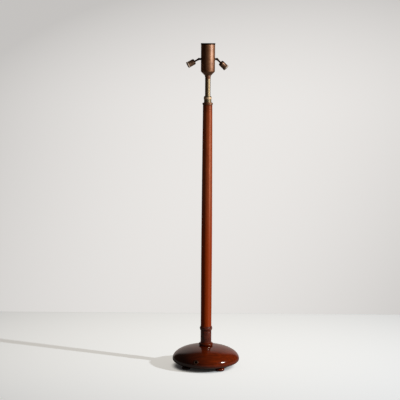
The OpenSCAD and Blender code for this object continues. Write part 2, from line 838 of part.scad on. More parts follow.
module holder_cap() {
    cone_z = holder_boss_h;
    edge_z = holder_cap_h - holder_edge_h;
    inner_r = holder_r - holder_cap_t;
    color([0.70, 0.55, 0.28])
    at_z(holder_cap_z) difference() {
        union() {
            turned([
                [0, 0], [holder_boss_r, 0], [holder_boss_r, cone_z], [holder_r, edge_z],
                [holder_r, holder_cap_h], [inner_r, holder_cap_h], [inner_r, edge_z],
                [holder_boss_r - holder_cap_t, cone_z], [0, cone_z]]);
            // posts that rise from the cone and take the screws
            intersection() {
                at_holder_screws() cylinder(r = holder_post_r, h = holder_cap_h);
                turned([
                    [0, cone_z], [holder_boss_r, cone_z], [holder_r, edge_z],
                    [holder_r, holder_cap_h], [0, holder_cap_h]]);
            }
        }
        at_z(-cut) cylinder(r = boss_hole_r, h = cone_z + 2 * cut);
        at_holder_screws() at_z(holder_cap_h - holder_screw_hold - fit_gap)
            cylinder(r = holder_screw_r + fit_gap / 2, h = holder_screw_hold + cut);
    }
}

module holder_body() {
    pit_r = holder_screw_circle_r + holder_screw_head_r + fit_gap;
    color([0.90, 0.88, 0.82])
    at_z(holder_z) difference() {
        cylinder(r = holder_r, h = holder_h);
        // bore of the screw shell, on a seat over the sunk screws
        at_z(shell_z - holder_z) cylinder(r = holder_bore_r, h = holder_h);
        at_z(holder_floor_h) cylinder(r = pit_r, h = holder_h);
        at_z(-cut) cylinder(r = contact_r / 2 + fit_gap, h = holder_floor_h + 2 * cut);
        at_holder_screws() at_z(-cut) cylinder(r = holder_screw_r + screw_gap, h = holder_floor_h + 2 * cut);
    }
}

module holder_screw_shell() {
    color([0.80, 0.66, 0.36])
    at_z(shell_z) ring(shell_bore_r + shell_t, shell_bore_r, shell_h);
}

module holder_contact() {
    color([0.82, 0.68, 0.38])
    at_z(holder_z) contact(contact_r, holder_floor_h, contact_h);
}

module holder_terminals() {
    color([0.80, 0.66, 0.36])
    for (side = [-1, 1]) translate([0, side * holder_screw_circle_r, holder_z - terminal_w]) difference() {
        translate([-terminal_w / 2, -terminal_w / 2, 0]) cube(terminal_w);
        translate([0, 0, terminal_w / 2]) rotate([90, 0, 0]) translate([0, 0, -terminal_w])
            cylinder(r = terminal_hole_r, h = 2 * terminal_w);
    }
}

module holder_screws() {
    color([0.80, 0.68, 0.42])
    at_holder_screws() at_z(holder_seat_z) {
        cylinder(r = holder_screw_head_r, h = holder_screw_head_h);
        at_z(-holder_floor_h - holder_screw_hold)
            cylinder(r = holder_screw_r, h = holder_floor_h + holder_screw_hold);
    }
}

// ---- side lights ------------------------------------------------------------------------

function turn_of(side) = side == "right" ? side_turn : side_turn + 180;
function tilt_of(side) = side == "right" ? right_tilt : left_tilt;

// Level frame of a side light: +X points out of the cup
module at_side(side) {
    rotate([0, 0, turn_of(side)]) at_z(side_z) children();
}

// Frame of an arm: origin on the knuckle pin, +X along the arm
module at_arm(side) {
    at_side(side) translate([pivot_r, 0, 0]) rotate([0, tilt_of(side), 0]) children();
}

// A disc of the knuckle, across Y
module knuckle_disc(t, r = knuckle_r) {
    rotate([90, 0, 0]) translate([0, 0, -t / 2]) cylinder(r = r, h = t);
}

module side_stub(side) {
    tongue_x = pivot_r - stub_face_r;
    color([0.16, 0.11, 0.08])
    at_side(side) difference() {
        union() {
            translate([stub_in_r, 0, 0]) along_x() cylinder(r = arm_r, h = stub_face_r - stub_in_r);
            translate([cup_r, 0, 0]) along_x() cylinder(r = stub_collar_r, h = stub_collar_t);
            translate([stub_face_r, -tongue_t / 2, -arm_r]) cube([tongue_x, tongue_t, 2 * arm_r]);
            translate([pivot_r, 0, 0]) knuckle_disc(tongue_t);
        }
        translate([stub_in_r - cut, 0, 0]) along_x() cylinder(r = arm_bore_r, h = stub_face_r - stub_in_r);
        translate([pivot_r, 0, 0]) knuckle_disc(tongue_t + 2 * cut, pin_r + run_gap);
    }
}

module side_stub_nut(side) {
    color([0.60, 0.50, 0.30])
    at_side(side) translate([stub_nut_r, 0, 0]) along_x()
        hex_nut(stub_nut_af, arm_r + fit_gap / 2, stub_nut_t);
}

module side_arm(side) {
    ear_y = tongue_t / 2 + side_gap;
    color([0.16, 0.11, 0.08])
    at_arm(side) difference() {
        union() {
            for (y = [-ear_y - ear_t / 2, ear_y + ear_t / 2]) translate([0, y, 0]) {
                knuckle_disc(ear_t);
                translate([0, -ear_t / 2, -arm_r]) cube([fork_root + cut, ear_t, 2 * arm_r]);
            }
            translate([fork_root, -fork_w / 2, -arm_r]) cube([fork_root_h, fork_w, 2 * arm_r]);
            translate([fork_root, 0, 0]) along_x() cylinder(r = arm_r, h = arm_end_x - fork_root);
        }
        knuckle_disc(fork_w + 2 * cut, pin_r + fit_gap / 2);
        translate([fork_root - cut, 0, 0]) along_x() cylinder(r = arm_bore_r, h = arm_end_x);
    }
}

module side_knuckle_screw(side) {
    reach = fork_w + 2 * pin_head_t + screw_tail_h;
    color([0.35, 0.26, 0.16])
    at_arm(side) translate([0, -fork_w / 2 - pin_head_t, 0]) rotate([-90, 0, 0]) {
        cylinder(r = pin_head_r, h = pin_head_t);
        cylinder(r = pin_r, h = reach);
    }
}

module side_knuckle_nut(side) {
    color([0.35, 0.26, 0.16])
    at_arm(side) translate([0, fork_w / 2, 0]) rotate([-90, 0, 0])
        ring(pin_head_r, pin_r + fit_gap / 2, pin_head_t);
}

module side_socket_cap(side) {
    shoulder = socket_cap_h / 2;
    inner = shoulder - socket_cap_t;
    hole_r = arm_r + fit_gap / 2;
    color([0.30, 0.20, 0.12])
    at_arm(side) translate([arm_reach, 0, 0]) along_x() turned(concat(
        [[hole_r, 0]],
        arc(socket_cap_r - shoulder, shoulder, shoulder, shoulder, -90, 0, curve_steps / 4),
        [[socket_cap_r, socket_cap_h], [socket_cap_r - socket_cap_t, socket_cap_h]],
        arc(socket_cap_r - shoulder, shoulder, inner, inner, 0, -90, curve_steps / 4),
        [[hole_r, socket_cap_t]]));
}

module side_socket_sleeve(side) {
    color([0.55, 0.36, 0.20])
    at_arm(side) translate([sleeve_x, 0, 0]) along_x() ring(sleeve_r, sleeve_r - sleeve_t, sleeve_h);
}

module side_mouth_ring(side) {
    color([0.85, 0.78, 0.66])
    at_arm(side) translate([mouth_x, 0, 0]) along_x() turned([
        [mouth_bore_r, 0], [mouth_r, 0], [mouth_r, mouth_h - mouth_edge],
        [mouth_r - mouth_edge, mouth_h], [mouth_bore_r + mouth_lip, mouth_h],
        [mouth_bore_r, mouth_h - mouth_lip]]);
}

module side_socket_core(side) {
    color([0.88, 0.84, 0.76])
    at_arm(side) translate([sleeve_x, 0, 0]) along_x() difference() {
        cylinder(r = socket_core_r, h = sleeve_h - fit_gap);
        at_z(small_shell_x - sleeve_x) cylinder(r = small_shell_r + fit_gap, h = sleeve_h);
        at_z(core_floor_h) cylinder(r = small_pit_r, h = sleeve_h);
        at_z(-cut) cylinder(r = small_contact_r / 2 + fit_gap, h = core_floor_h + 2 * cut);
    }
}

module side_screw_shell(side) {
    color([0.80, 0.66, 0.36])
    at_arm(side) translate([small_shell_x, 0, 0]) along_x() ring(small_shell_r, small_bore_r, small_shell_h);
}

module side_contact(side) {
    color([0.82, 0.68, 0.38])
    at_arm(side) translate([sleeve_x, 0, 0]) along_x()
        contact(small_contact_r, core_floor_h, small_contact_h);
}

base_bun();
foot(0);  // foot_front_right
foot(1);  // foot_back_right
foot(2);  // foot_back_left
foot(3);  // foot_front_left
ballast_disc();
base_cover();
cover_screws();
cord_eyelet();
tie_rod();
tie_washer();
tie_nut();
base_flange();
ferrule();
bead_ring();
stem_core();
leather_sleeve();
stem_foot_plug();
top_flange();
guide_bush();
collet();
clamp_nut();
mast_glide_ring();
mast_end_plug();
mast_clip();
mast_tube();
cup_neck();
nipple();
cup_shell();
cup_rim_ring();
cup_locknut();
holder_cap();
holder_body();
holder_screw_shell();
holder_contact();
holder_terminals();
holder_screws();
side_stub("left");  // left_stub
side_stub_nut("left");  // left_stub_nut
side_arm("left");  // left_arm
side_knuckle_screw("left");  // left_knuckle_screw
side_knuckle_nut("left");  // left_knuckle_nut
side_socket_cap("left");  // left_socket_cap
side_socket_sleeve("left");  // left_socket_sleeve
side_mouth_ring("left");  // left_mouth_ring
side_socket_core("left");  // left_socket_core
side_screw_shell("left");  // left_screw_shell
side_contact("left");  // left_contact
side_stub("right");  // right_stub
side_stub_nut("right");  // right_stub_nut
side_arm("right");  // right_arm
side_knuckle_screw("right");  // right_knuckle_screw
side_knuckle_nut("right");  // right_knuckle_nut
side_socket_cap("right");  // right_socket_cap
side_socket_sleeve("right");  // right_socket_sleeve
side_mouth_ring("right");  // right_mouth_ring
side_socket_core("right");  // right_socket_core
side_screw_shell("right");  // right_screw_shell
side_contact("right");  // right_contact
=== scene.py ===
# Candlestick floor lamp: the finish and the visible detail of every piece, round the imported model.
import math

import bpy
from mathutils import Matrix, Vector


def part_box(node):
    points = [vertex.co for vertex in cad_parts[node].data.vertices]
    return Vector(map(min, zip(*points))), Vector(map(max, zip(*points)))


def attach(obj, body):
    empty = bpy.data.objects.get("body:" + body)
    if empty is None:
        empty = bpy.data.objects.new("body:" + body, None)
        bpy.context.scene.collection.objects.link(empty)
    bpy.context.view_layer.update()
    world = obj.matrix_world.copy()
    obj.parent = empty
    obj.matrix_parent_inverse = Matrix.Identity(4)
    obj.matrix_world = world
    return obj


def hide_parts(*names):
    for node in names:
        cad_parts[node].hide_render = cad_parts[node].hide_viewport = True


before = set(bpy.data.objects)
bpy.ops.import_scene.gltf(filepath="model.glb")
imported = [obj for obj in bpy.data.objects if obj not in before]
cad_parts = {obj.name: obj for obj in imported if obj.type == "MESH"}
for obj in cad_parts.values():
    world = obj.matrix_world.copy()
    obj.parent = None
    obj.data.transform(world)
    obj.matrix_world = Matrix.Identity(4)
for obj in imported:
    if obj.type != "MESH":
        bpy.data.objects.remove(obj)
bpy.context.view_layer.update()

# ---- Camera ------------------------------------------------------------------------------
# The photograph's view: five metres in front of the lamp, at the height of the cup's rim, tilted
# down by 7 degrees, and rolled by less than half a degree, so that the lamp leans to the right.
camera_back = 5.14
camera_height = 1.33
camera_tilt = math.radians(7.0645)
camera_roll = math.radians(0.38)
photo_width_px = 400
focal_px = 1266.9
stem_px = 207.0
film_width = 36

bpy.ops.object.camera_add()
camera = bpy.context.object
camera.name = "camera"
camera.data.sensor_width = film_width
camera.data.lens = film_width * focal_px / photo_width_px
camera_turn = math.atan((stem_px - photo_width_px / 2) / focal_px)
camera.matrix_world = (
    Matrix.Translation((0, -camera_back, camera_height))
    @ Matrix.Rotation(camera_turn, 4, "Z")
    @ Matrix.Rotation(math.pi / 2 - camera_tilt, 4, "X")
    @ Matrix.Rotation(camera_roll, 4, "Z")
)
bpy.context.scene.camera = camera

# ---- Base bun ----------------------------------------------------------------------------
# A low bun, turned from mahogany and finished in many coats of gloss lacquer. Its crown is a
# little fuller than an ellipse; the underside has a pocket for the ballast.


def linear(hex_colour):
    """An sRGB hex colour as the linear colour that a shader takes."""
    parts = [int(hex_colour[i : i + 2], 16) / 255 for i in (1, 3, 5)]
    return (*[p / 12.92 if p <= 0.04045 else ((p + 0.055) / 1.055) ** 2.4 for p in parts], 1)


def feed(node, sockets):
    """Gives sockets of a node their values or hex colours, or links them to an output or to
    another node, which stands for the first output that it uses."""
    for socket, given in sockets.items():
        if isinstance(given, str):
            given = linear(given)
        if isinstance(given, bpy.types.Node):
            given = next(output for output in given.outputs if output.enabled)
        if isinstance(given, bpy.types.NodeSocket):
            node.id_data.links.new(given, node.inputs[socket])
        else:
            node.inputs[socket].default_value = given


def add(tree, kind, sockets=None, **traits):
    """A shader node with its own settings, and what goes into its sockets."""
    made = tree.nodes.new("ShaderNode" + kind)
    for trait, value in traits.items():
        setattr(made, trait, value)
    feed(made, sockets or {})
    return made


def begin(name, values):
    """A material with one shader, whose even values are set on its own sockets, and the place
    on the piece, by which its patterns are laid."""
    material = bpy.data.materials.new(name)
    material.use_nodes = True
    tree = material.node_tree
    shader = tree.nodes["Principled BSDF"]
    feed(shader, values)
    return material, tree, shader, add(tree, "TexCoord").outputs["Object"]


def arc(centre, radii, start, end, steps):
    """Points on an arc of an ellipse in an outline, with its angles in degrees."""
    turns = [math.radians(start + (end - start) * i / steps) for i in range(steps + 1)]
    return [(centre[0] + radii[0] * math.cos(t), centre[1] + radii[1] * math.sin(t)) for t in turns]


def alone(piece):
    """Selects a piece and nothing else."""
    bpy.ops.object.select_all(action="DESELECT")
    piece.select_set(True)
    bpy.context.view_layer.objects.active = piece


def apply_modifier(piece, modifier):
    alone(piece)
    bpy.ops.object.modifier_apply(modifier=modifier.name)


def soften(piece, width):
    """Breaks a piece's sharp edges, as filing and polishing do."""
    bevel = piece.modifiers.new("broken edges", "BEVEL")
    bevel.width = width
    bevel.segments = 2
    bevel.limit_method = "ANGLE"
    bevel.angle_limit = math.radians(40)
    apply_modifier(piece, bevel)


def drawn(name, outline, depth=0):
    """A point drawn along an outline of X and Z, which leaves a line of edges. It is still in
    edit mode, selected all over."""
    bpy.ops.object.select_all(action="DESELECT")
    bpy.ops.mesh.primitive_plane_add(size=0.001)
    piece = bpy.context.object
    piece.name = piece.data.name = name
    bpy.ops.object.mode_set(mode="EDIT")
    bpy.ops.mesh.select_mode(type="VERT")
    bpy.ops.mesh.select_all(action="SELECT")
    bpy.ops.mesh.merge(type="CENTER")
    bpy.ops.transform.translate(value=(outline[0][0], depth, outline[0][1]))
    for a, b in zip(outline, outline[1:]):
        step = {"value": (b[0] - a[0], 0, b[1] - a[1])}
        bpy.ops.mesh.extrude_region_move(TRANSFORM_OT_translate=step)
    bpy.ops.mesh.select_all(action="SELECT")
    return piece


def turned(name, outline, steps=128, soft=0.0003):
    """A piece from the lathe: an outline of radius and height, spun round the Z axis, with its
    corners broken by a small bevel."""
    piece = drawn(name, outline)
    bpy.ops.mesh.spin(steps=steps, angle=math.tau, center=(0, 0, 0), axis=(0, 0, 1))
    bpy.ops.mesh.select_all(action="SELECT")
    bpy.ops.mesh.remove_doubles(threshold=0.00001)
    bpy.ops.mesh.normals_make_consistent(inside=False)
    bpy.ops.object.mode_set(mode="OBJECT")
    if soft:
        soften(piece, soft)
    return piece


def place(piece, matrix):
    """Moves a piece made at the origin to its place, and keeps that place in its mesh."""
    alone(piece)
    piece.matrix_world = matrix
    bpy.ops.object.transform_apply(location=True, rotation=True, scale=True)
    return piece


def cut(piece, cutter):
    """Takes the cutter's shape out of a piece."""
    boolean = piece.modifiers.new("cut", "BOOLEAN")
    boolean.operation = "DIFFERENCE"
    boolean.solver = "EXACT"
    boolean.object = cutter
    apply_modifier(piece, boolean)
    bpy.data.objects.remove(cutter)


def finish_piece(piece, material, body, slot, *nodes, smooth=35):
    """Gives a piece its material, and says which body carries it and which nodes it stands for."""
    alone(piece)
    bpy.ops.object.shade_smooth_by_angle(angle=math.radians(smooth))
    piece.data.materials.clear()
    piece.data.materials.append(material)
    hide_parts(*nodes)
    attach(piece, body)


def lacquered_mahogany():
    """Mahogany under polished gloss lacquer: a deep red-brown that opens to orange where light goes
    in, with faint dark streaks along the grain, painted shade on its left side, and a clear mirror
    coat over it."""
    material, tree, shader, place_on = begin(
        "lacquered_mahogany",
        {
            "Roughness": 0.5,
            "Specular IOR Level": 0.0,
            "Coat Weight": 1.0,
            "Coat Roughness": 0.12,
            "Coat IOR": 1.6,
        },
    )
    # grain streaks about 6 mm apart and some 80 mm long, along X
    along_grain = add(tree, "Mapping", {"Vector": place_on, "Scale": (12, 160, 160)})
    streaks = add(
        tree,
        "TexNoise",
        {"Vector": along_grain, "Scale": 1.0, "Detail": 5.0, "Roughness": 0.62, "Distortion": 0.25},
    )
    # clouds of colour some 60 mm across, left by the hand-rubbed stain
    clouds = add(
        tree, "TexNoise", {"Vector": place_on, "Scale": 17.0, "Detail": 3.0, "Roughness": 0.5}
    )
    stain = add(tree, "Mix", {0: clouds, 6: "#561803", 7: "#862F08"}, data_type="RGBA")
    depth = add(
        tree, "MapRange", {"Value": streaks, "From Min": 0.42, "From Max": 0.66, "To Max": 0.5}
    )
    grained = add(tree, "Mix", {0: depth, 6: stain, 7: "#260B04"}, data_type="RGBA")
    # painted shade: the bun is darkened towards its left side, where light from the right falls away
    apart = add(tree, "SeparateXYZ", {"Vector": place_on}).outputs
    painted_shade_left = add(
        tree,
        "MapRange",
        {"Value": apart["X"], "From Min": -0.085, "From Max": 0.04, "To Min": 0.9, "To Max": 0.0},
    )
    wood_with_painted_shade = add(tree, "Mix", {0: painted_shade_left, 6: grained, 7: "#190804"}, data_type="RGBA")
    # the lacquer has sunk a few hundredths of a millimetre into the pores
    pores = add(tree, "Bump", {"Height": streaks, "Strength": 0.10, "Distance": 0.0002})
    feed(shader, {"Base Color": wood_with_painted_shade, "Normal": pores})
    return material


mahogany = lacquered_mahogany()

bun_low, bun_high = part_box("base_bun")
cover_low, cover_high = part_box("base_cover")
rod_way_radius = 0.0053
bun_radius = bun_high.x
belly_height = 0.019
crown_height = 0.0565
fullness = 2.1
turn_width = 0.044
pocket_radius = 0.076
pocket_top = 0.046
snug = 0.0001
cover_way_radius = cover_high.x + snug
crown_steps = 40
seat_angle = math.asin(((bun_high.z - bun_low.z - belly_height) / crown_height) ** (fullness / 2))


def bun_radius_at(height):
    """The bun's radius at a height above its widest line."""
    return bun_radius * (1 - (height / crown_height) ** fullness) ** (1 / fullness)


belly = bun_low.z + belly_height
crown = []
for i in range(crown_steps + 1):
    turn = seat_angle * (1 - i / crown_steps)
    rise = crown_height * math.sin(turn) ** (2 / fullness)
    crown.append((bun_radius_at(rise), belly + rise))
bun = turned(
    "bun",
    [(rod_way_radius, pocket_top), (rod_way_radius, bun_high.z)]
    + crown
    + arc((bun_radius - turn_width, belly), (turn_width, belly_height), 0, -90, 20)[1:]
    + [
        (cover_way_radius, bun_low.z),
        (cover_way_radius, cover_high.z),
        (pocket_radius, cover_high.z),
        (pocket_radius, pocket_top),
        (rod_way_radius, pocket_top),
    ],
    steps=256,
)

# ---- Cord inlet --------------------------------------------------------------------------
# A small turned eyelet, toned like copper, low on the front of the bun. Its barrel is pressed
# into a sloping drilling, through which a cord would go to the hollow tie rod.


def toned_copper(name, clear, deep):
    """Copper, polished, toned brown and lacquered: a warm metal with cloudy darker patches and
    a satin, slightly uneven polish, and a paler shine from the lacquer over it."""
    material, tree, shader, place_on = begin(
        name, {"Metallic": 1.0, "Coat Weight": 0.9, "Coat Roughness": 0.42}
    )
    # the tone lies in clouds some 25 mm across
    clouds = add(
        tree,
        "TexNoise",
        {"Vector": place_on, "Scale": 40.0, "Detail": 6.0, "Roughness": 0.65, "Distortion": 0.6},
    )
    tone = add(tree, "MapRange", {"Value": clouds, "From Min": 0.35, "From Max": 0.68})
    copper = add(tree, "Mix", {0: tone, 6: clear, 7: deep}, data_type="RGBA")
    # darker tone is duller; fine lines half a millimetre apart are left by the polishing wheel
    dulness = add(tree, "MapRange", {"Value": clouds, "To Min": 0.58, "To Max": 0.7})
    round_lines = add(tree, "Mapping", {"Vector": place_on, "Scale": (60, 60, 2000)})
    lines = add(tree, "TexNoise", {"Vector": round_lines, "Scale": 1.0, "Detail": 2.0})
    polish = add(tree, "Bump", {"Height": lines, "Strength": 0.10, "Distance": 0.0001})
    feed(shader, {"Base Color": copper, "Roughness": dulness, "Normal": polish})
    return material


copper = toned_copper("toned_copper", "#9A6E4E", "#744629")
deep_copper = toned_copper("deep_toned_copper", "#5E4030", "#341F16")

inlet_turn = math.radians(-107.4)
inlet_slope = math.radians(27)
inlet_height = 0.0145
eyelet_bore = 0.0045
eyelet_radius = 0.0063
eyelet_length = 0.018
flange_radius = 0.0098
flange_thickness = 0.0022
flange_sunk = 0.0012
inlet_radius = bun_radius_at(inlet_height)
inlet = (
    Matrix.Rotation(inlet_turn, 4, "Z")
    @ Matrix.Translation((inlet_radius, 0, belly + inlet_height))
    @ Matrix.Rotation(math.pi / 2 - inlet_slope, 4, "Y")
)
drilling_length = 0.076
bpy.ops.mesh.primitive_cylinder_add(
    vertices=64, radius=eyelet_radius + snug, depth=drilling_length
)
cut(bun, place(bpy.context.object, inlet))
finish_piece(bun, mahogany, "stand", "base_lacquer", "base_bun")

edge = flange_thickness / 2
flange_middle = edge - flange_sunk
barrel_end = -eyelet_length - flange_sunk
eyelet = turned(
    "cord_eyelet_ring",
    [(eyelet_bore, flange_middle), (eyelet_bore, barrel_end)]
    + [(eyelet_radius, barrel_end), (eyelet_radius, -flange_sunk)]
    + arc((flange_radius - edge, flange_middle), (edge, edge), -90, 90, 10)
    + arc((eyelet_bore + edge, flange_middle), (edge, edge), 90, 180, 6),
    steps=64,
    soft=0,
)
finish_piece(place(eyelet, inlet), deep_copper, "stand", "antique_copper", "cord_eyelet")

# ---- Feet --------------------------------------------------------------------------------
# Four bun feet, turned from the same wood and lacquered with the base, each with a neck that
# is let into the bun's underside. They are alike, so one is turned and copied.
foot_names = ["foot_front_right", "foot_back_right", "foot_back_left", "foot_front_left"]
foot_radius = 0.019
foot_neck_radius = 0.0125
foot_height = bun_low.z
foot_neck_top = 0.016
foot_groove = 0.0004
sole_edge = 0.0008
foot_middle = foot_height / 2
foot_swell = foot_radius - foot_neck_radius
foot = turned(
    "bun_foot",
    [(0, 0), (foot_neck_radius - sole_edge, 0)]
    + arc((foot_neck_radius, foot_middle), (foot_swell, foot_middle), -80, 76, 18)
    + [(foot_neck_radius, foot_height - foot_groove), (foot_neck_radius, foot_neck_top)]
    + [(0, foot_neck_top)],
    steps=96,
)
for name in foot_names:
    low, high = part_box(name)
    copy = foot.copy()
    copy.data = foot.data.copy()
    copy.name = copy.data.name = "bun_" + name
    bpy.context.scene.collection.objects.link(copy)
    centre = (low + high) / 2
    place(copy, Matrix.Translation((centre.x, centre.y, 0)))
    finish_piece(copy, mahogany, "stand", "base_lacquer", name)
bpy.data.objects.remove(foot)

# ---- Inside the base ---------------------------------------------------------------------
# A cast iron disc, held under the bun by the hollow tie rod's washer and nut, and a hardboard
# cover with slotted brass screws. Only cover and screws show, from below.


def cast_iron():
    """Grey iron as it leaves the sand mould: dark, matt and gritty."""
    material, tree, shader, place_on = begin("cast_iron", {"Metallic": 0.85, "Roughness": 0.62})
    # sand grit, about 1 mm
    grit = add(tree, "TexNoise", {"Vector": place_on, "Scale": 900.0, "Detail": 4.0})
    iron = add(tree, "Mix", {0: grit, 6: "#3A3A3C", 7: "#58585A"}, data_type="RGBA")
    rough = add(tree, "Bump", {"Height": grit, "Strength": 0.5, "Distance": 0.0004})
    feed(shader, {"Base Color": iron, "Normal": rough})
    return material


def zinc_plated_steel():
    """Drawn steel with a dull zinc plating: pale grey, faintly mottled by its crystals."""
    material, tree, shader, place_on = begin(
        "zinc_plated_steel", {"Metallic": 1.0, "Roughness": 0.38}
    )
    # crystals some 3 mm across
    crystals = add(tree, "TexVoronoi", {"Vector": place_on, "Scale": 330.0})
    zinc = add(tree, "Mix", {0: crystals, 6: "#A9A79F", 7: "#C4C1B8"}, data_type="RGBA")
    feed(shader, {"Base Color": zinc})
    return material


def brown_hardboard():
    """Hardboard: pressed wood fibre, dark brown and smooth, with short pale fibres."""
    material, tree, shader, place_on = begin("brown_hardboard", {"Roughness": 0.72})
    # matted fibres, 1 mm thick and some 6 mm long
    fibre_place = add(
        tree, "Mapping", {"Vector": place_on, "Scale": (160, 900, 900), "Rotation": (0, 0, 0.6)}
    )
    fibres = add(
        tree,
        "TexNoise",
        {"Vector": fibre_place, "Scale": 1.0, "Detail": 5.0, "Roughness": 0.7, "Distortion": 1.5},
    )
    board = add(tree, "Mix", {0: fibres, 6: "#3E2818", 7: "#7A5638"}, data_type="RGBA")
    nap = add(tree, "Bump", {"Height": fibres, "Strength": 0.3, "Distance": 0.0002})
    feed(shader, {"Base Color": board, "Normal": nap})
    return material


def polished_brass(name, clear, aged, metallic=1.0):
    """Brass, polished on a wheel and kept under clear varnish: pale yellow, with slightly browner
    patches where the varnish has aged and hair-fine scratches from handling. A lower metallic value,
    given with pale colours, makes a painted highlight that is spread almost evenly."""
    material, tree, shader, place_on = begin(name, {"Metallic": metallic})
    # aged patches some 30 mm across
    patches = add(
        tree, "TexNoise", {"Vector": place_on, "Scale": 34.0, "Detail": 4.0, "Roughness": 0.6}
    )
    brass = add(tree, "Mix", {0: patches, 6: clear, 7: aged}, data_type="RGBA")
    shine = add(tree, "MapRange", {"Value": patches, "To Min": 0.5, "To Max": 0.6})
    # scratches a fifth of a millimetre wide, along the sliding tube
    scratch_place = add(tree, "Mapping", {"Vector": place_on, "Scale": (5000, 5000, 60)})
    scratches = add(tree, "TexNoise", {"Vector": scratch_place, "Scale": 1.0, "Detail": 2.0})
    wear = add(tree, "Bump", {"Height": scratches, "Strength": 0.02, "Distance": 0.00005})
    feed(shader, {"Base Color": brass, "Roughness": shine, "Normal": wear})
    return material


def keep_node(node, material):
    """A CAD node that keeps its shape, with its real material."""
    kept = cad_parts[node]
    kept.data.materials.clear()
    kept.data.materials.append(material)


zinc = zinc_plated_steel()
brass = polished_brass("polished_brass", "#A19478", "#86745A")
keep_node("ballast_disc", cast_iron())
keep_node("base_cover", brown_hardboard())
for node in ("tie_rod", "tie_washer", "tie_nut"):
    keep_node(node, zinc)

cover_screw_circle = 0.07975
cover_screw_head = 0.0028
cover_screw_shank = 0.0015
cover_screw_length = 0.012
head_crown = 0.0002
head_taper = 0.6
slot_width = 0.0006
slot_depth = 0.0014
head_thickness = (cover_high.z - cover_low.z) / 2
first_screw_turn = math.radians(-9)
first_slot_turn = 0.5
next_slot_turn = 0.9
screws = []
for i in range(4):
    screw = turned(
        "cover_screw",
        [(0, head_crown), (cover_screw_head * head_taper, head_crown)]
        + [(cover_screw_head, head_thickness * head_taper), (cover_screw_head, head_thickness)]
        + [(cover_screw_shank, head_thickness), (cover_screw_shank, cover_screw_length)]
        + [(0, cover_screw_length)],
        steps=32,
        soft=0.0001,
    )
    bpy.ops.mesh.primitive_cube_add(size=1)
    slot_shape = Matrix.Diagonal((cover_screw_head * 3, slot_width, slot_depth, 1))
    # each was driven home until it was tight, so the slots point anywhere
    slot_turn = Matrix.Rotation(first_slot_turn + next_slot_turn * i, 4, "Z")
    cut(screw, place(bpy.context.object, slot_turn @ slot_shape))
    screw_turn = first_screw_turn + i * math.pi / 2
    spot = Vector((math.cos(screw_turn), math.sin(screw_turn), 0)) * cover_screw_circle
    screws.append(place(screw, Matrix.Translation((spot.x, spot.y, cover_low.z))))


def joined(name, parts):
    """Several meshes as one piece."""
    bpy.ops.object.select_all(action="DESELECT")
    for part in parts:
        part.select_set(True)
    bpy.context.view_layer.objects.active = parts[0]
    bpy.ops.object.join()
    parts[0].name = parts[0].data.name = name
    return parts[0]


finish_piece(joined("slotted_cover_screws", screws), brass, "stand", "bright_brass", "cover_screws")

# ---- Column rings ------------------------------------------------------------------------
# A half-round ring on the bun, a plain ferrule and a bead ring between square shoulders, all
# turned and lacquered like the base, and threaded on the tie rod one above the other.


def lacquered_burr():
    """The same gloss lacquer over a darker burr: brown-red with cloudy, nearly black figure."""
    material, tree, shader, place_on = begin(
        "lacquered_burr",
        {"Roughness": 0.45, "Specular IOR Level": 0.2, "Coat Weight": 0.8, "Coat Roughness": 0.16},
    )
    # burr figure, some 8 mm across
    figure = add(
        tree,
        "TexNoise",
        {"Vector": place_on, "Scale": 120.0, "Detail": 5.0, "Roughness": 0.6, "Distortion": 1.2},
    )
    spread = add(tree, "MapRange", {"Value": figure, "From Min": 0.36, "From Max": 0.64})
    wood = add(tree, "Mix", {0: spread, 6: "#42160B", 7: "#773220"}, data_type="RGBA")
    feed(shader, {"Base Color": wood})
    return material


burr = lacquered_burr()

low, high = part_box("base_flange")
flange_edge = (high.z - low.z) / 2
ring = turned(
    "half_round_ring",
    [(rod_way_radius, low.z), (high.x - flange_edge, low.z)]
    + arc((high.x - flange_edge, low.z + flange_edge), (flange_edge, flange_edge), -80, 80, 20)
    + [(high.x - flange_edge, high.z), (rod_way_radius, high.z), (rod_way_radius, low.z)],
    steps=160,
)
finish_piece(ring, mahogany, "stand", "base_lacquer", "base_flange")

low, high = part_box("ferrule")
groove = 0.0006
groove_rise = 0.003
groove_low = low.z + groove_rise
groove_high = high.z - groove_rise
ring = turned(
    "ferrule_sleeve",
    [(rod_way_radius, low.z), (high.x, low.z), (high.x, groove_low)]
    + [(high.x - groove, groove_low + groove), (high.x, groove_low + 2 * groove)]
    + [(high.x, groove_high - 2 * groove), (high.x - groove, groove_high - groove)]
    + [(high.x, groove_high), (high.x, high.z)]
    + [(rod_way_radius, high.z), (rod_way_radius, low.z)],
    steps=160,
    soft=0.0002,
)
finish_piece(ring, burr, "stand", "base_lacquer", "ferrule")

low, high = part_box("bead_ring")
shoulder_radius = 0.0231
shoulder_height = 0.002
bead_middle = (low.z + high.z) / 2
bead_half = bead_middle - low.z - shoulder_height
ring = turned(
    "bead",
    [(rod_way_radius, low.z), (shoulder_radius, low.z), (shoulder_radius, low.z + shoulder_height)]
    + arc((shoulder_radius, bead_middle), (high.x - shoulder_radius, bead_half), -84, 84, 20)
    + [(shoulder_radius, high.z - shoulder_height), (shoulder_radius, high.z)]
    + [(rod_way_radius, high.z), (rod_way_radius, low.z)],
    steps=160,
    soft=0.0002,
)
finish_piece(ring, burr, "stand", "base_lacquer", "bead_ring")

# ---- Stem --------------------------------------------------------------------------------
# A turned beech core, bored for the mast, under a skin of smooth cognac leather. The skin is
# drawn on wet and sewn up the back with waxed thread, edge to edge; it swells very slightly.


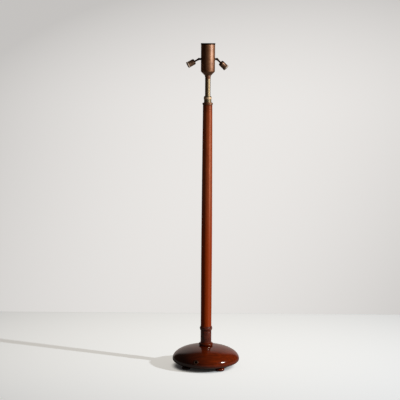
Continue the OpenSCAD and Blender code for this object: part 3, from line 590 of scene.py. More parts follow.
def cognac_leather():
    """Vegetable-tanned calf, dyed cognac and waxed: an orange-brown with a satin shine, darker
    clouds from handling, a fine pebbled grain, and a darker line at its cut ends."""
    material, tree, shader, place_on = begin(
        "cognac_leather",
        {"Specular Tint": "#FFB090", "Anisotropic": 0.8, "Anisotropic Rotation": 0.25},
    )
    # dye clouds, stretched up the stem to some 80 mm by the drawing on
    cloud_place = add(tree, "Mapping", {"Vector": place_on, "Scale": (45, 45, 12)})
    clouds = add(
        tree,
        "TexNoise",
        {"Vector": cloud_place, "Scale": 1.0, "Detail": 5.0, "Roughness": 0.6, "Distortion": 0.4},
    )
    dye = add(tree, "MapRange", {"Value": clouds, "From Min": 0.34, "From Max": 0.68})
    skin = add(tree, "Mix", {0: dye, 6: "#9C4A26", 7: "#883B1C"}, data_type="RGBA")
    # handling has darkened the ends of the skin over some 40 mm
    apart = add(tree, "SeparateXYZ", {"Vector": place_on}).outputs
    from_middle = add(tree, "Math", {0: apart["Z"], 1: stem_middle}, operation="SUBTRACT")
    distance = add(tree, "Math", {0: from_middle}, operation="ABSOLUTE")
    ends = add(
        tree,
        "MapRange",
        {"Value": distance, "From Min": stem_half - 0.04, "From Max": stem_half, "To Max": 0.55},
        interpolation_type="SMOOTHSTEP",
    )
    handled = add(tree, "Mix", {0: ends, 6: skin, 7: "#5E2410"}, data_type="RGBA")
    # the lower half is mixed to a fuller red, made a little rougher and given a lower specular
    # level, so that its shine fades towards the bottom
    toward_foot = add(
        tree,
        "MapRange",
        {"Value": apart["Z"], "From Min": 0.45, "From Max": 0.78, "To Min": 0.9, "To Max": 0.0},
        interpolation_type="SMOOTHSTEP",
    )
    fuller_red_below = add(tree, "Mix", {0: toward_foot, 6: handled, 7: "#9A370C"}, data_type="RGBA")
    satin = add(tree, "MapRange", {"Value": clouds, "To Min": 0.42, "To Max": 0.5})
    rougher_below = add(tree, "Math", {0: toward_foot, 1: 0.06}, operation="MULTIPLY")
    shine_level = add(tree, "MapRange", {"Value": toward_foot, "To Min": 1.0, "To Max": 0.24})
    dulled = add(tree, "Math", {0: satin, 1: rougher_below}, operation="ADD")
    # pebbled grain: cells of 1.2 mm, which is coarser than real calf so that it shows
    grain = add(tree, "TexVoronoi", {"Vector": place_on, "Scale": 830.0}, feature="SMOOTH_F1")
    pebbles = add(tree, "Bump", {"Height": grain, "Strength": 0.22, "Distance": 0.0003})
    feed(
        shader,
        {"Base Color": fuller_red_below, "Specular IOR Level": shine_level, "Roughness": dulled, "Normal": pebbles},
    )
    return material


def turned_beech():
    """Beech, turned and sanded: pale tan with short darker flecks along the grain."""
    material, tree, shader, place_on = begin("turned_beech", {"Roughness": 0.55})
    # flecks 1 mm wide and 8 mm long, up the stem
    fleck_place = add(tree, "Mapping", {"Vector": place_on, "Scale": (1000, 1000, 120)})
    flecks = add(tree, "TexNoise", {"Vector": fleck_place, "Scale": 1.0, "Detail": 3.0})
    wood = add(tree, "Mix", {0: flecks, 6: "#D0A878", 7: "#9C7048"}, data_type="RGBA")
    feed(shader, {"Base Color": wood})
    return material


stem_low, stem_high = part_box("leather_sleeve")
stem_middle = (stem_low.z + stem_high.z) / 2
stem_half = (stem_high.z - stem_low.z) / 2
leather = cognac_leather()
keep_node("stem_core", turned_beech())
keep_node("stem_foot_plug", brass)

stem_foot_radius = 0.0221
stem_belly_radius = stem_high.x
stem_top_radius = 0.0192
stem_belly_rise = 0.281
leather_thickness = 0.0016
taper_power = 1.45
stem_steps = 48


def stem_radius_at(height):
    """The skin's radius at a height above the floor."""
    rise = height - stem_low.z
    if rise < stem_belly_rise:
        return stem_foot_radius + (stem_belly_radius - stem_foot_radius) * rise / stem_belly_rise
    up = (rise - stem_belly_rise) / (2 * stem_half - stem_belly_rise)
    return stem_belly_radius - (stem_belly_radius - stem_top_radius) * up**taper_power


heights = [stem_low.z + 2 * stem_half * i / stem_steps for i in range(stem_steps + 1)]
skin_side = [(stem_radius_at(h), h) for h in heights]
under_side = [(r - leather_thickness, h) for r, h in reversed(skin_side)]
skin = turned("leather_skin", skin_side + under_side + skin_side[:1], steps=160, soft=0)


def pick(piece, chosen):
    """Selects those points of the last made piece that a test chooses, and stays in edit mode."""
    bpy.ops.object.mode_set(mode="EDIT")
    bpy.ops.mesh.select_mode(type="VERT")
    bpy.ops.mesh.select_all(action="DESELECT")
    bpy.ops.object.mode_set(mode="OBJECT")
    for vertex in piece.data.vertices:
        vertex.select = chosen(vertex.co)
    bpy.ops.object.mode_set(mode="EDIT")


def on_seam(point):
    outside = point.xy.length > stem_radius_at(point.z) - leather_thickness / 2
    return abs(point.x) < seam_half_width and point.y > 0 and outside


# the two cut edges meet at the back, drawn in by the thread
seam_depth = 0.0007
seam_half_width = 0.0006
pick(skin, on_seam)
bpy.ops.transform.translate(value=(0, -seam_depth, 0))
bpy.ops.object.mode_set(mode="OBJECT")
finish_piece(skin, leather, "stand", "stem_leather", "leather_sleeve")


def waxed_thread():
    """Linen thread, dark brown with beeswax: matt, with the twist of its three strands."""
    material, tree, shader, place_on = begin("waxed_thread", {"Roughness": 0.6})
    # the twist repeats every 1.5 mm
    twist = add(
        tree,
        "TexWave",
        {"Vector": place_on, "Scale": 210.0, "Distortion": 0.5},
        bands_direction="DIAGONAL",
    )
    thread = add(
        tree, "Mix", {0: twist.outputs["Fac"], 6: "#4A2A18", 7: "#7A4C2E"}, data_type="RGBA"
    )
    feed(shader, {"Base Color": thread})
    return material


# one stitch is a short arc of thread over the seam; pairs of them cross it up the stem
stitch_pitch = 0.008
thread_radius = 0.00045
stitch_radius = 0.0034
stitch_lean = math.radians(28)
first_stitch = 2
stitches_short_of_top = 3
stitch_count = int(2 * stem_half / stitch_pitch) - first_stitch - stitches_short_of_top
stitch_sink = 0.0016
legs = []
for lean in (stitch_lean, -stitch_lean):
    bpy.ops.object.select_all(action="DESELECT")
    bpy.ops.mesh.primitive_circle_add(vertices=6, radius=thread_radius, fill_type="NOTHING")
    leg = bpy.context.object
    bpy.ops.object.mode_set(mode="EDIT")
    bpy.ops.mesh.select_all(action="SELECT")
    bpy.ops.transform.translate(value=(stitch_radius, 0, 0))
    bpy.ops.mesh.spin(steps=6, angle=math.pi, center=(0, 0, 0), axis=(0, 1, 0))
    bpy.ops.mesh.select_all(action="SELECT")
    bpy.ops.mesh.normals_make_consistent(inside=False)
    bpy.ops.object.mode_set(mode="OBJECT")
    flat = Matrix.Rotation(math.pi / 2, 4, "X")
    at_back = Matrix.Translation(
        (0, stem_foot_radius - stitch_sink, stem_low.z + first_stitch * stitch_pitch)
    )
    legs.append(place(leg, at_back @ Matrix.Rotation(lean, 4, "Y") @ flat))
stitches = joined("seam_stitches", legs)
row = stitches.modifiers.new("row of stitches", "ARRAY")
row.count = stitch_count
row.use_relative_offset = False
row.use_constant_offset = True
row.constant_offset_displace = (0, 0, stitch_pitch)
apply_modifier(stitches, row)
# every stitch is drawn up against the swelling stem, further than an operator could bend the row
for vertex in stitches.data.vertices:
    vertex.co.y += stem_radius_at(vertex.co.z) - stem_foot_radius
finish_piece(stitches, waxed_thread(), "stand", "stem_leather", smooth=60)

# ---- Collar ------------------------------------------------------------------------------
# On the stem's top: a copper flange with a threaded neck, in which a bush guides the mast and
# a split collet grips it, and the knurled brass nut that closes the collet.
low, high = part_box("top_flange")
nut_low, nut_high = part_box("clamp_nut")
flange_bead_height = 0.010
flange_step_radius = 0.0155
flange_step_height = 0.002
thread_neck_radius = 0.0131
flange_bore = 0.0122
bead_edge = flange_bead_height / 2
spigot_radius = 0.01315
bead_z = stem_high.z
step_z = bead_z + flange_bead_height
step_top = step_z + flange_step_height
ring = turned(
    "top_ring",
    [(flange_bore, low.z), (spigot_radius, low.z), (spigot_radius, bead_z)]
    + arc((high.x - bead_edge, bead_z + bead_edge), (bead_edge, bead_edge), -84, 84, 16)
    + [(flange_step_radius, step_z), (flange_step_radius, step_top)]
    + [(thread_neck_radius, step_top), (thread_neck_radius, high.z)]
    + [(flange_bore, high.z), (flange_bore, low.z)],
    steps=160,
    soft=0.0002,
)
finish_piece(ring, copper, "stand", "antique_copper", "top_flange")
keep_node("guide_bush", brass)
keep_node("collet", brass)

nut_foot_height = 0.0115
nut_foot_radius = 0.0149
band_height = 0.008
nut_radius = 0.015
nut_edge = 0.002
nut_bore = 0.01325
nut_lip_radius = 0.0113
nut_lip_height = 0.003
cone = 0.0012
knurl_steps = 160
knurl_depth = 0.00022
foot_sunk = 0.00015
band_low = nut_low.z - foot_sunk + nut_foot_height
band_high = band_low + band_height
lip_z = nut_high.z - nut_lip_height
nut = turned(
    "knurled_nut",
    [(nut_bore, nut_low.z), (nut_foot_radius, nut_low.z), (nut_foot_radius, band_low)]
    + [(nut_high.x - knurl_depth, band_low), (nut_high.x, band_low + knurl_depth)]
    + [(nut_high.x, band_high - knurl_depth), (nut_high.x - knurl_depth, band_high)]
    + [(nut_radius, band_high + knurl_depth), (nut_radius, nut_high.z - nut_edge)]
    + arc((nut_radius - nut_edge, nut_high.z - nut_edge), (nut_edge, nut_edge), 10, 90, 6)
    + [(nut_lip_radius, nut_high.z), (nut_lip_radius, lip_z), (nut_bore - cone, lip_z)]
    + [(nut_bore, lip_z - cone), (nut_bore, nut_low.z)],
    steps=knurl_steps,
    soft=0,
)


def on_groove(point):
    line = round(math.atan2(point.y, point.x) / math.tau * knurl_steps + knurl_steps)
    return point.xy.length > nut_high.x - knurl_depth / 4 and line % 2 == 0


# straight knurling: every other line of the band is pressed in, which leaves V grooves
pick(nut, on_groove)
pressed = 1 - knurl_depth / nut_high.x
bpy.ops.transform.resize(value=(pressed, pressed, 1), center_override=(0, 0, 0))
bpy.ops.object.mode_set(mode="OBJECT")
finish_piece(nut, brass, "clamp_nut", "bright_brass", "clamp_nut", smooth=30)
# painted highlight: the knurled band gets a paler, half-metallic brass, for the bright glint that
# the knurls catch across its width
nut.data.materials.append(polished_brass("brass_painted_glint", "#E2C8A8", "#CFB08A", metallic=0.4))
for face in nut.data.polygons:
    if band_low < face.center.z < band_high and face.center.xy.length > nut_radius:
        face.material_index = 1

# ---- Mast --------------------------------------------------------------------------------
# A drawn brass tube that slides and turns in the collar. Its foot runs in the stem on a nylon
# ring, kept between an end plug and a spring clip, all out of sight.


def natural_nylon():
    """Nylon as it is machined: off-white, waxy, with fine turning marks."""
    material, tree, shader, place_on = begin(
        "natural_nylon", {"Roughness": 0.4, "Subsurface Weight": 0.2, "Subsurface Scale": 0.003}
    )
    # turning marks 1 mm apart
    marks = add(
        tree,
        "TexWave",
        {"Vector": place_on, "Scale": 160.0, "Distortion": 0.2},
        bands_direction="Z",
    )
    nylon = add(
        tree, "Mix", {0: marks.outputs["Fac"], 6: "#DCD4BC", 7: "#CFC6AC"}, data_type="RGBA"
    )
    feed(shader, {"Base Color": nylon})
    return material


keep_node("mast_glide_ring", natural_nylon())
keep_node("mast_end_plug", brass)
keep_node("mast_clip", zinc)

low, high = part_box("mast_tube")
mast_wall = 0.0015
mast_tube = turned(
    "brass_mast",
    [(high.x - mast_wall, low.z), (high.x, low.z), (high.x, high.z)]
    + [(high.x - mast_wall, high.z), (high.x - mast_wall, low.z)],
)
finish_piece(mast_tube, brass, "mast", "bright_brass", "mast_tube")

# ---- Cup ---------------------------------------------------------------------------------
# A cup spun from copper sheet, with a cone under a round turn, on a short turned neck. A
# threaded nipple and a nut hold cup, neck and lampholder; a dark ring is rolled on the edge.


def dark_bronze():
    """Brass, blackened in a patina bath and waxed: nearly black brown, rubbed to a lighter
    brown where hands and cloths have passed over its edges."""
    material, tree, shader, place_on = begin("dark_bronze", {"Metallic": 0.9, "Roughness": 0.36})
    # patches of the patina, some 5 mm across
    patina = add(
        tree, "TexNoise", {"Vector": place_on, "Scale": 200.0, "Detail": 4.0, "Roughness": 0.6}
    )
    dark = add(tree, "Mix", {0: patina, 6: "#241811", 7: "#3C2819"}, data_type="RGBA")
    form = add(tree, "NewGeometry")
    rubbed = add(
        tree,
        "MapRange",
        {"Value": form.outputs["Pointiness"], "From Min": 0.53, "From Max": 0.64, "To Max": 0.6},
    )
    worn = add(tree, "Mix", {0: rubbed, 6: dark, 7: "#7A5636"}, data_type="RGBA")
    feed(shader, {"Base Color": worn})
    return material


bronze = dark_bronze()

low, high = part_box("cup_neck")
cup_low, cup_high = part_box("cup_shell")
neck_radius = 0.01175
neck_foot_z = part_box("mast_tube")[1].z
neck_bore = 0.00505
neck_flare_height = 0.003
neck_spigot_radius = 0.00945
neck_bead = 0.0007
neck_curl = 0.0006
flare_z = high.z - neck_flare_height
neck = turned(
    "cup_neck_ring",
    [(neck_bore, low.z), (neck_spigot_radius, low.z), (neck_spigot_radius, neck_foot_z)]
    + [(neck_radius, neck_foot_z), (neck_radius, neck_foot_z + 2 * neck_bead)]
    + [(neck_radius - neck_bead, neck_foot_z + 3 * neck_bead)]
    + [(neck_radius - neck_bead, flare_z - 2 * neck_bead)]
    + arc((high.x - neck_curl, flare_z), (neck_curl, neck_flare_height), -60, 60, 6)
    + [(high.x, high.z), (neck_bore, high.z), (neck_bore, low.z)],
    soft=0.0002,
)
finish_piece(neck, copper, "mast", "antique_copper", "cup_neck")

cup_radius = cup_high.x
cup_wall = 0.0012
cup_turn_radius = 0.007
cup_foot_radius = 0.0123
turn_centre_radius = cup_radius - cup_turn_radius
turn_rise = turn_centre_radius - cup_foot_radius + cup_turn_radius * math.sqrt(2)
turn_centre = (turn_centre_radius, cup_low.z + turn_rise)
inner_turn = cup_turn_radius - cup_wall
inner_foot = turn_centre_radius - turn_rise + inner_turn * math.sqrt(2) + cup_wall
cup_floor = cup_low.z + cup_wall
cup = turned(
    "spun_cup",
    [(neck_bore, cup_low.z), (cup_foot_radius, cup_low.z)]
    + arc(turn_centre, (cup_turn_radius, cup_turn_radius), -45, 0, 14)
    + [(cup_radius, cup_high.z), (cup_radius - cup_wall, cup_high.z)]
    + arc(turn_centre, (inner_turn, inner_turn), 0, -45, 14)
    + [(inner_foot, cup_floor), (neck_bore, cup_floor), (neck_bore, cup_low.z)],
    steps=192,
    soft=0.0002,
)
# the two holes that the side lights' stubs pass are drilled in line
stub_line = math.radians(12)
stub_rise = 0.0665
stub_way = 0.0037
bpy.ops.mesh.primitive_cylinder_add(vertices=64, radius=stub_way, depth=2.4 * cup_radius)
drill_place = (
    Matrix.Rotation(stub_line, 4, "Z")
    @ Matrix.Translation((0, 0, cup_low.z + stub_rise))
    @ Matrix.Rotation(math.pi / 2, 4, "Y")
)
cut(cup, place(bpy.context.object, drill_place))
finish_piece(cup, copper, "mast", "antique_copper", "cup_shell")

low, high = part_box("cup_rim_ring")
rim_inner = 0.0271
rim_seat = 0.02855
rim_top = 0.0009
rim_bead = 0.0009
rim_body = high.x - 0.0004
rim_centre = high.x - rim_bead
rim = turned(
    "rolled_rim",
    [(rim_seat, low.z)]
    + arc((rim_centre, low.z + rim_bead), (rim_bead, rim_bead), -90, 60, 8)
    + [(rim_body, low.z + 2.4 * rim_bead), (rim_body, high.z - 2.8 * rim_bead)]
    + arc((rim_centre, high.z - rim_bead), (rim_bead, rim_bead), -60, 90, 8)
    + [(rim_inner, high.z), (rim_inner, high.z - rim_top), (rim_seat, high.z - rim_top)]
    + [(rim_seat, low.z)],
    steps=192,
    soft=0.0001,
)
finish_piece(rim, bronze, "mast", "dark_bronze", "cup_rim_ring")
keep_node("nipple", zinc)
keep_node("cup_locknut", brass)

# ---- Main lampholder ---------------------------------------------------------------------
# A porcelain body on a brass cap, screwed on the nipple inside the cup. The lamp's screw shell
# is rolled brass; a riveted contact, screws and terminals stand in the body.


def glazed_porcelain():
    """Porcelain under a clear glaze: warm white, hard gloss, with a faint unevenness."""
    material, tree, shader, place_on = begin(
        "glazed_porcelain", {"Roughness": 0.3, "Coat Weight": 0.6, "Coat Roughness": 0.06}
    )
    # the glaze's unevenness, some 8 mm across
    glaze = add(tree, "TexNoise", {"Vector": place_on, "Scale": 120.0, "Detail": 3.0})
    white = add(tree, "Mix", {0: glaze, 6: "#F0E8DA", 7: "#DDD2C0"}, data_type="RGBA")
    ripple = add(tree, "Bump", {"Height": glaze, "Strength": 0.08, "Distance": 0.0003})
    feed(shader, {"Base Color": white, "Normal": ripple})
    return material


porcelain = glazed_porcelain()

low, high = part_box("holder_body")
shell_low, shell_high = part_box("holder_screw_shell")
holder_floor = low.z + 0.013
shell_way = shell_high.x + snug
pit_radius = 0.0124
rivet_way = 0.0021
lip = 0.0015
holder = turned(
    "porcelain_holder",
    [(rivet_way, low.z), (high.x, low.z)]
    + arc((high.x - lip, high.z - lip), (lip, lip), 0, 90, 6)
    + [(shell_way, high.z), (shell_way, shell_low.z), (pit_radius, shell_low.z)]
    + [(pit_radius, holder_floor), (rivet_way, holder_floor), (rivet_way, low.z)],
    steps=96,
)
finish_piece(holder, porcelain, "mast", "porcelain", "holder_body")


def screw_shell(name, low_z, high_z, radius, wall, pitch):
    """A rolled screw shell: its wall waves in and out once in each pitch of the thread."""
    turns = int((high_z - low_z - pitch / 2) / pitch)
    wave_depth = 1.6 * wall
    sheet = 0.6 * wall
    steps = 8
    points = [(radius + wall, high_z), (radius + wall, low_z + turns * pitch)]
    for i in range(turns * steps, -1, -1):
        wave = (1 - math.cos(i * math.tau / steps)) / 2
        points.append((radius + wall - wave_depth * wave, low_z + i * pitch / steps))
    inside = [(r - sheet, z) for r, z in reversed(points)]
    return turned(name, points + inside + points[:1], steps=96, soft=0)


lamp_thread_pitch = 0.0036
shell_wall = 0.0004
shell_bore = shell_high.x - shell_wall
shell = screw_shell(
    "lamp_screw_shell", shell_low.z, shell_high.z, shell_bore, shell_wall, lamp_thread_pitch
)
finish_piece(shell, brass, "mast", "bright_brass", "holder_screw_shell", smooth=60)
for node in ("holder_cap", "holder_contact", "holder_terminals", "holder_screws"):
    keep_node(node, brass)

# ---- Side lights -------------------------------------------------------------------------
# On each side of the cup a blackened stub holds a forked arm on a knuckle screw. The arm is a
# bent-down tube with a small brown brass lampholder: cap, sleeve, porcelain mouth and shell.


def brown_brass():
    """Brass, toned brown and lacquered: satin, and browner in patches where the tone took."""
    material, tree, shader, place_on = begin("brown_brass", {"Metallic": 0.7, "Roughness": 0.46})
    # patches of tone some 6 mm across
    patches = add(
        tree, "TexNoise", {"Vector": place_on, "Scale": 160.0, "Detail": 5.0, "Roughness": 0.65}
    )
    tone = add(tree, "MapRange", {"Value": patches, "From Min": 0.36, "From Max": 0.66})
    brown = add(tree, "Mix", {0: tone, 6: "#866A54", 7: "#553D2F"}, data_type="RGBA")
    feed(shader, {"Base Color": brown})
    return material


def plate(name, outline, thickness):
    """A flat piece across Y, cut to an outline of X and Z, with broken edges."""
    piece = drawn(name, outline, -thickness / 2)
    bpy.ops.mesh.edge_face_add()
    bpy.ops.mesh.extrude_region_move(TRANSFORM_OT_translate={"value": (0, thickness, 0)})
    bpy.ops.mesh.select_all(action="SELECT")
    bpy.ops.mesh.normals_make_consistent(inside=False)
    bpy.ops.object.mode_set(mode="OBJECT")
    soften(piece, 0.0003)
    return piece


def tube(name, start, end, radius, bore):
    """A length of tube along X."""
    piece = turned(
        name,
        [(bore, start), (radius, start), (radius, end), (bore, end), (bore, start)],
        steps=48,
    )
    return place(piece, along_x)


toned_brass = brown_brass()
along_x = Matrix.Rotation(math.pi / 2, 4, "Y")
lights = {
    "right": (stub_line, math.radians(43)),
    "left": (stub_line + math.pi, math.radians(28)),
}
side_height = cup_low.z + stub_rise
pivot_radius = 0.0372
arm_radius = 0.0036
arm_bore = 0.002
knuckle_radius = 0.005
tongue = 0.0032
ear = 0.0021
ear_gap = 0.00015
fork_root = 0.0053
fork_root_length = 0.003
fork_width = tongue + 2 * ear_gap + 2 * ear
stub_inside = 0.0219
collar_radius = 0.0052
collar_thickness = 0.0016
collar_face = cup_radius + collar_thickness
pin_radius = 0.0017
pin_head_radius = 0.0032
pin_head = 0.0016
pin_tail = 0.0005
pin_edge = 0.0004
pin_way = pin_radius + 0.00005
pin_slot_turn = 0.7
pin_slot_width = 0.0007
arm_reach = 0.020
arm_end = 0.0227
cap_length = 0.0065
cap_radius = 0.0117
cap_wall = 0.0012
sleeve_length = 0.022
sleeve_radius = 0.0123
sleeve_wall = 0.0008
foot_bead = 0.0009
low_bead = 0.0006
lip_bead = 0.0008
mouth_length = 0.004
mouth_radius = 0.013
mouth_bore = 0.0082
mouth_band_length = 0.0017
mouth_band_wall = 0.0005
small_shell_start = 0.03315
small_shell_length = 0.015
small_shell_bore = 0.00695
small_thread_pitch = 0.0028
ring_rise = 0.0003
tongue_edge = 0.0006
ear_edge = 0.0003
collar_edge = 0.0008
collar_edge_centre = (collar_radius - collar_edge, collar_face - collar_edge)
shank_start = cup_radius - 0.0004
fork_throat = fork_root + 0.001
fork_root_radius = fork_width / 2 + 0.0001
fork_root_end = fork_root + fork_root_length
fork_root_shoulder = fork_root_end - 0.0008
fork_root_fillet = (0.0003, 0.0012)
mouth_way = mouth_radius - 0.0001
mouth_edge = 0.0006
band_inside = mouth_radius - mouth_band_wall
band_outside = mouth_radius - 0.0003
band_edge = 0.0005
band_lip_radius = mouth_bore + 0.0016
lip_sunk = 0.0004
along_y = Matrix.Rotation(-math.pi / 2, 4, "X")

for side, (turn, tilt) in lights.items():
    level = Matrix.Rotation(turn, 4, "Z") @ Matrix.Translation((0, 0, side_height))
    arm_frame = level @ Matrix.Translation((pivot_radius, 0, 0)) @ Matrix.Rotation(tilt, 4, "Y")
    light = side + "_light"

    # stub: a shank through the cup's wall, a collar outside it, and a flat tongue with an eye
    reach = pivot_radius - collar_face
    tongue_plate = plate(
        "tongue",
        [(-reach, -arm_radius), (0, -knuckle_radius + tongue_edge)]
        + arc((0, 0), (knuckle_radius, knuckle_radius), -80, 80, 20)
        + [(0, knuckle_radius - tongue_edge), (-reach, arm_radius)],
        tongue,
    )
    place(tongue_plate, Matrix.Translation((pivot_radius, 0, 0)))
    shank = tube("shank", stub_inside, collar_face, arm_radius, arm_bore)
    collar = turned(
        "collar",
        [(0, shank_start), (collar_radius, shank_start)]
        + arc(collar_edge_centre, (collar_edge, collar_edge), 0, 90, 5)
        + [(0, collar_face)],
        steps=64,
    )
    place(collar, along_x)
    stub = joined(side + "_cup_stub", [tongue_plate, shank, collar])
    finish_piece(place(stub, level), bronze, "mast", "dark_bronze", side + "_stub")
    keep_node(side + "_stub_nut", brass)

    # arm: two ears, the root that joins them, and the tube that carries the lampholder
    ears = []
    for across in (-1, 1):
        ear_plate = plate(
            "ear",
            [(fork_throat, arm_radius), (0, knuckle_radius - ear_edge)]
            + arc((0, 0), (knuckle_radius, knuckle_radius), 100, 260, 20)
            + [(0, -knuckle_radius + ear_edge), (fork_throat, -arm_radius)],
            ear,
        )
        ears.append(place(ear_plate, Matrix.Translation((0, across * (fork_width - ear) / 2, 0))))
    root = turned(
        "root",
        [(0, fork_root), (fork_root_radius, fork_root), (fork_root_radius, fork_root_shoulder)]
        + arc((arm_radius, fork_root_shoulder), fork_root_fillet, 0, 90, 4)
        + [(0, fork_root_end)],
        steps=48,
    )
    place(root, along_x)
    arm_tube = tube("arm_tube", fork_throat, arm_end, arm_radius, arm_bore)
    arm = joined(side + "_forked_arm", ears + [root, arm_tube])
    finish_piece(place(arm, arm_frame), bronze, light, "dark_bronze", side + "_arm")

    # knuckle screw with a slotted cheese head in front, and its round nut behind
    screw_length = fork_width + 2 * pin_head + pin_tail
    screw = turned(
        "screw",
        [(0, 0)]
        + arc((pin_head_radius - pin_edge, pin_edge), (pin_edge, pin_edge), -90, 0, 4)
        + [(pin_head_radius, pin_head), (pin_radius, pin_head)]
        + [(pin_radius, screw_length), (0, screw_length)],
        steps=48,
        soft=0.0001,
    )
    bpy.ops.mesh.primitive_cube_add(size=1)
    slot_shape = Matrix.Diagonal((3 * pin_head_radius, pin_slot_width, slot_depth, 1))
    cut(screw, place(bpy.context.object, Matrix.Rotation(pin_slot_turn, 4, "Z") @ slot_shape))
    in_front = Matrix.Translation((0, -fork_width / 2 - pin_head, 0))
    place(screw, arm_frame @ in_front @ along_y)
    screw.name = screw.data.name = side + "_slotted_screw"
    finish_piece(screw, bronze, light, "dark_bronze", side + "_knuckle_screw")
    pin_nut = turned(
        side + "_round_nut",
        [(pin_way, 0), (pin_head_radius, 0), (pin_head_radius, pin_head)]
        + [(pin_way, pin_head), (pin_way, 0)],
        steps=24,
        soft=0.00025,
    )
    behind = Matrix.Translation((0, fork_width / 2, 0))
    place(pin_nut, arm_frame @ behind @ along_y)
    finish_piece(pin_nut, bronze, light, "dark_bronze", side + "_knuckle_nut", smooth=20)

    # lampholder: a domed cap on the arm's end, then the sleeve, the mouth and the screw shell
    socket = arm_frame @ along_x
    shoulder = cap_length / 2
    hollow = shoulder - cap_wall
    way = arm_radius + 0.00005
    sleeve_start = arm_reach + cap_length
    dome_centre = (cap_radius - shoulder, arm_reach + shoulder)
    cap = turned(
        side + "_domed_cap",
        [(way, arm_reach)]
        + arc(dome_centre, (shoulder, shoulder), -90, 0, 12)
        + [(cap_radius, sleeve_start), (cap_radius - cap_wall, sleeve_start)]
        + arc(dome_centre, (hollow, hollow), 0, -90, 8)
        + [(way, arm_reach + cap_wall), (way, arm_reach)],
        steps=96,
        soft=0.0002,
    )
    finish_piece(place(cap, socket), bronze, light, "dark_bronze", side + "_socket_cap")

    sleeve_end = sleeve_start + sleeve_length
    sleeve_bore = sleeve_radius - sleeve_wall
    body_radius = sleeve_radius - ring_rise
    lip_bead_start = sleeve_end - 2 * lip_bead
    sleeve = turned(
        side + "_brass_sleeve",
        [(sleeve_bore, sleeve_start)]
        + arc((body_radius, sleeve_start + foot_bead), (ring_rise, foot_bead), -90, 90, 8)
        + arc((body_radius, lip_bead_start - low_bead), (ring_rise, low_bead), -90, 90, 6)
        + arc((body_radius, sleeve_end - lip_bead), (ring_rise, lip_bead), -90, 90, 8)
        + [(sleeve_bore, sleeve_end), (sleeve_bore, sleeve_start)],
        steps=96,
        soft=0.0001,
    )
    finish_piece(place(sleeve, socket), toned_brass, light, "brown_brass", side + "_socket_sleeve")

    # the porcelain shows as a pale line between the sleeve and a rolled band on its lip
    mouth_end = sleeve_end + mouth_length
    band_start = mouth_end - mouth_band_length
    lip_z = mouth_end - lip_sunk
    mouth = turned(
        side + "_porcelain_mouth",
        [(mouth_bore, sleeve_end), (mouth_way, sleeve_end), (mouth_way, band_start)]
        + [(band_inside, band_start), (band_inside, lip_z)]
        + arc((mouth_bore + mouth_edge, lip_z - mouth_edge), (mouth_edge, mouth_edge), 90, 180, 4)
        + [(mouth_bore, sleeve_end)],
        steps=96,
        soft=0.0002,
    )
    band = turned(
        side + "_mouth_band",
        [(band_inside, band_start), (band_outside, band_start)]
        + arc((mouth_radius - band_edge, mouth_end - band_edge), (band_edge, band_edge), 0, 90, 5)
        + [(band_lip_radius, mouth_end), (band_lip_radius, lip_z)]
        + [(band_inside, lip_z), (band_inside, band_start)],
        steps=96,
        soft=0.0001,
    )
    finish_piece(place(band, socket), toned_brass, light, "brown_brass")
    finish_piece(place(mouth, socket), porcelain, light, "porcelain", side + "_mouth_ring")
    keep_node(side + "_socket_core", porcelain)

    small_shell = screw_shell(
        side + "_rolled_shell",
        small_shell_start,
        small_shell_start + small_shell_length,
        small_shell_bore,
        shell_wall,
        small_thread_pitch,
    )
    place(small_shell, socket)
    finish_piece(small_shell, brass, light, "bright_brass", side + "_screw_shell", smooth=60)
    keep_node(side + "_contact", brass)

# ---- Floor and light ---------------------------------------------------------------------
# A pale floor that ends at a pale wall one metre behind the lamp, in a dim studio. One small key
# lamp, low on the right, draws the long thin shadow; the floor's other brightness is a painted glow,
# and the rest of the light on the lamp is what the floor throws back.
wall_back = 1.03
corner_shade_width = 0.02
floor_reach = 12
bright_spot = (-0.1, 0.44, 0)
key_turn = math.radians(-24.5)
key_rise = math.radians(27)
key_distance = 5.5
key_power = 272
key_size = 0.09
key_tall = 0.2
key_aim = Vector((0, 0, 0.5))

bpy.ops.object.select_all(action="DESELECT")
bpy.ops.mesh.primitive_plane_add(size=1)
floor = bpy.context.object
floor.name = "studio_floor"
floor_span = Matrix.Diagonal((2 * floor_reach, floor_reach + wall_back, 1, 1))
place(floor, Matrix.Translation((0, (wall_back - floor_reach) / 2, 0)) @ floor_span)


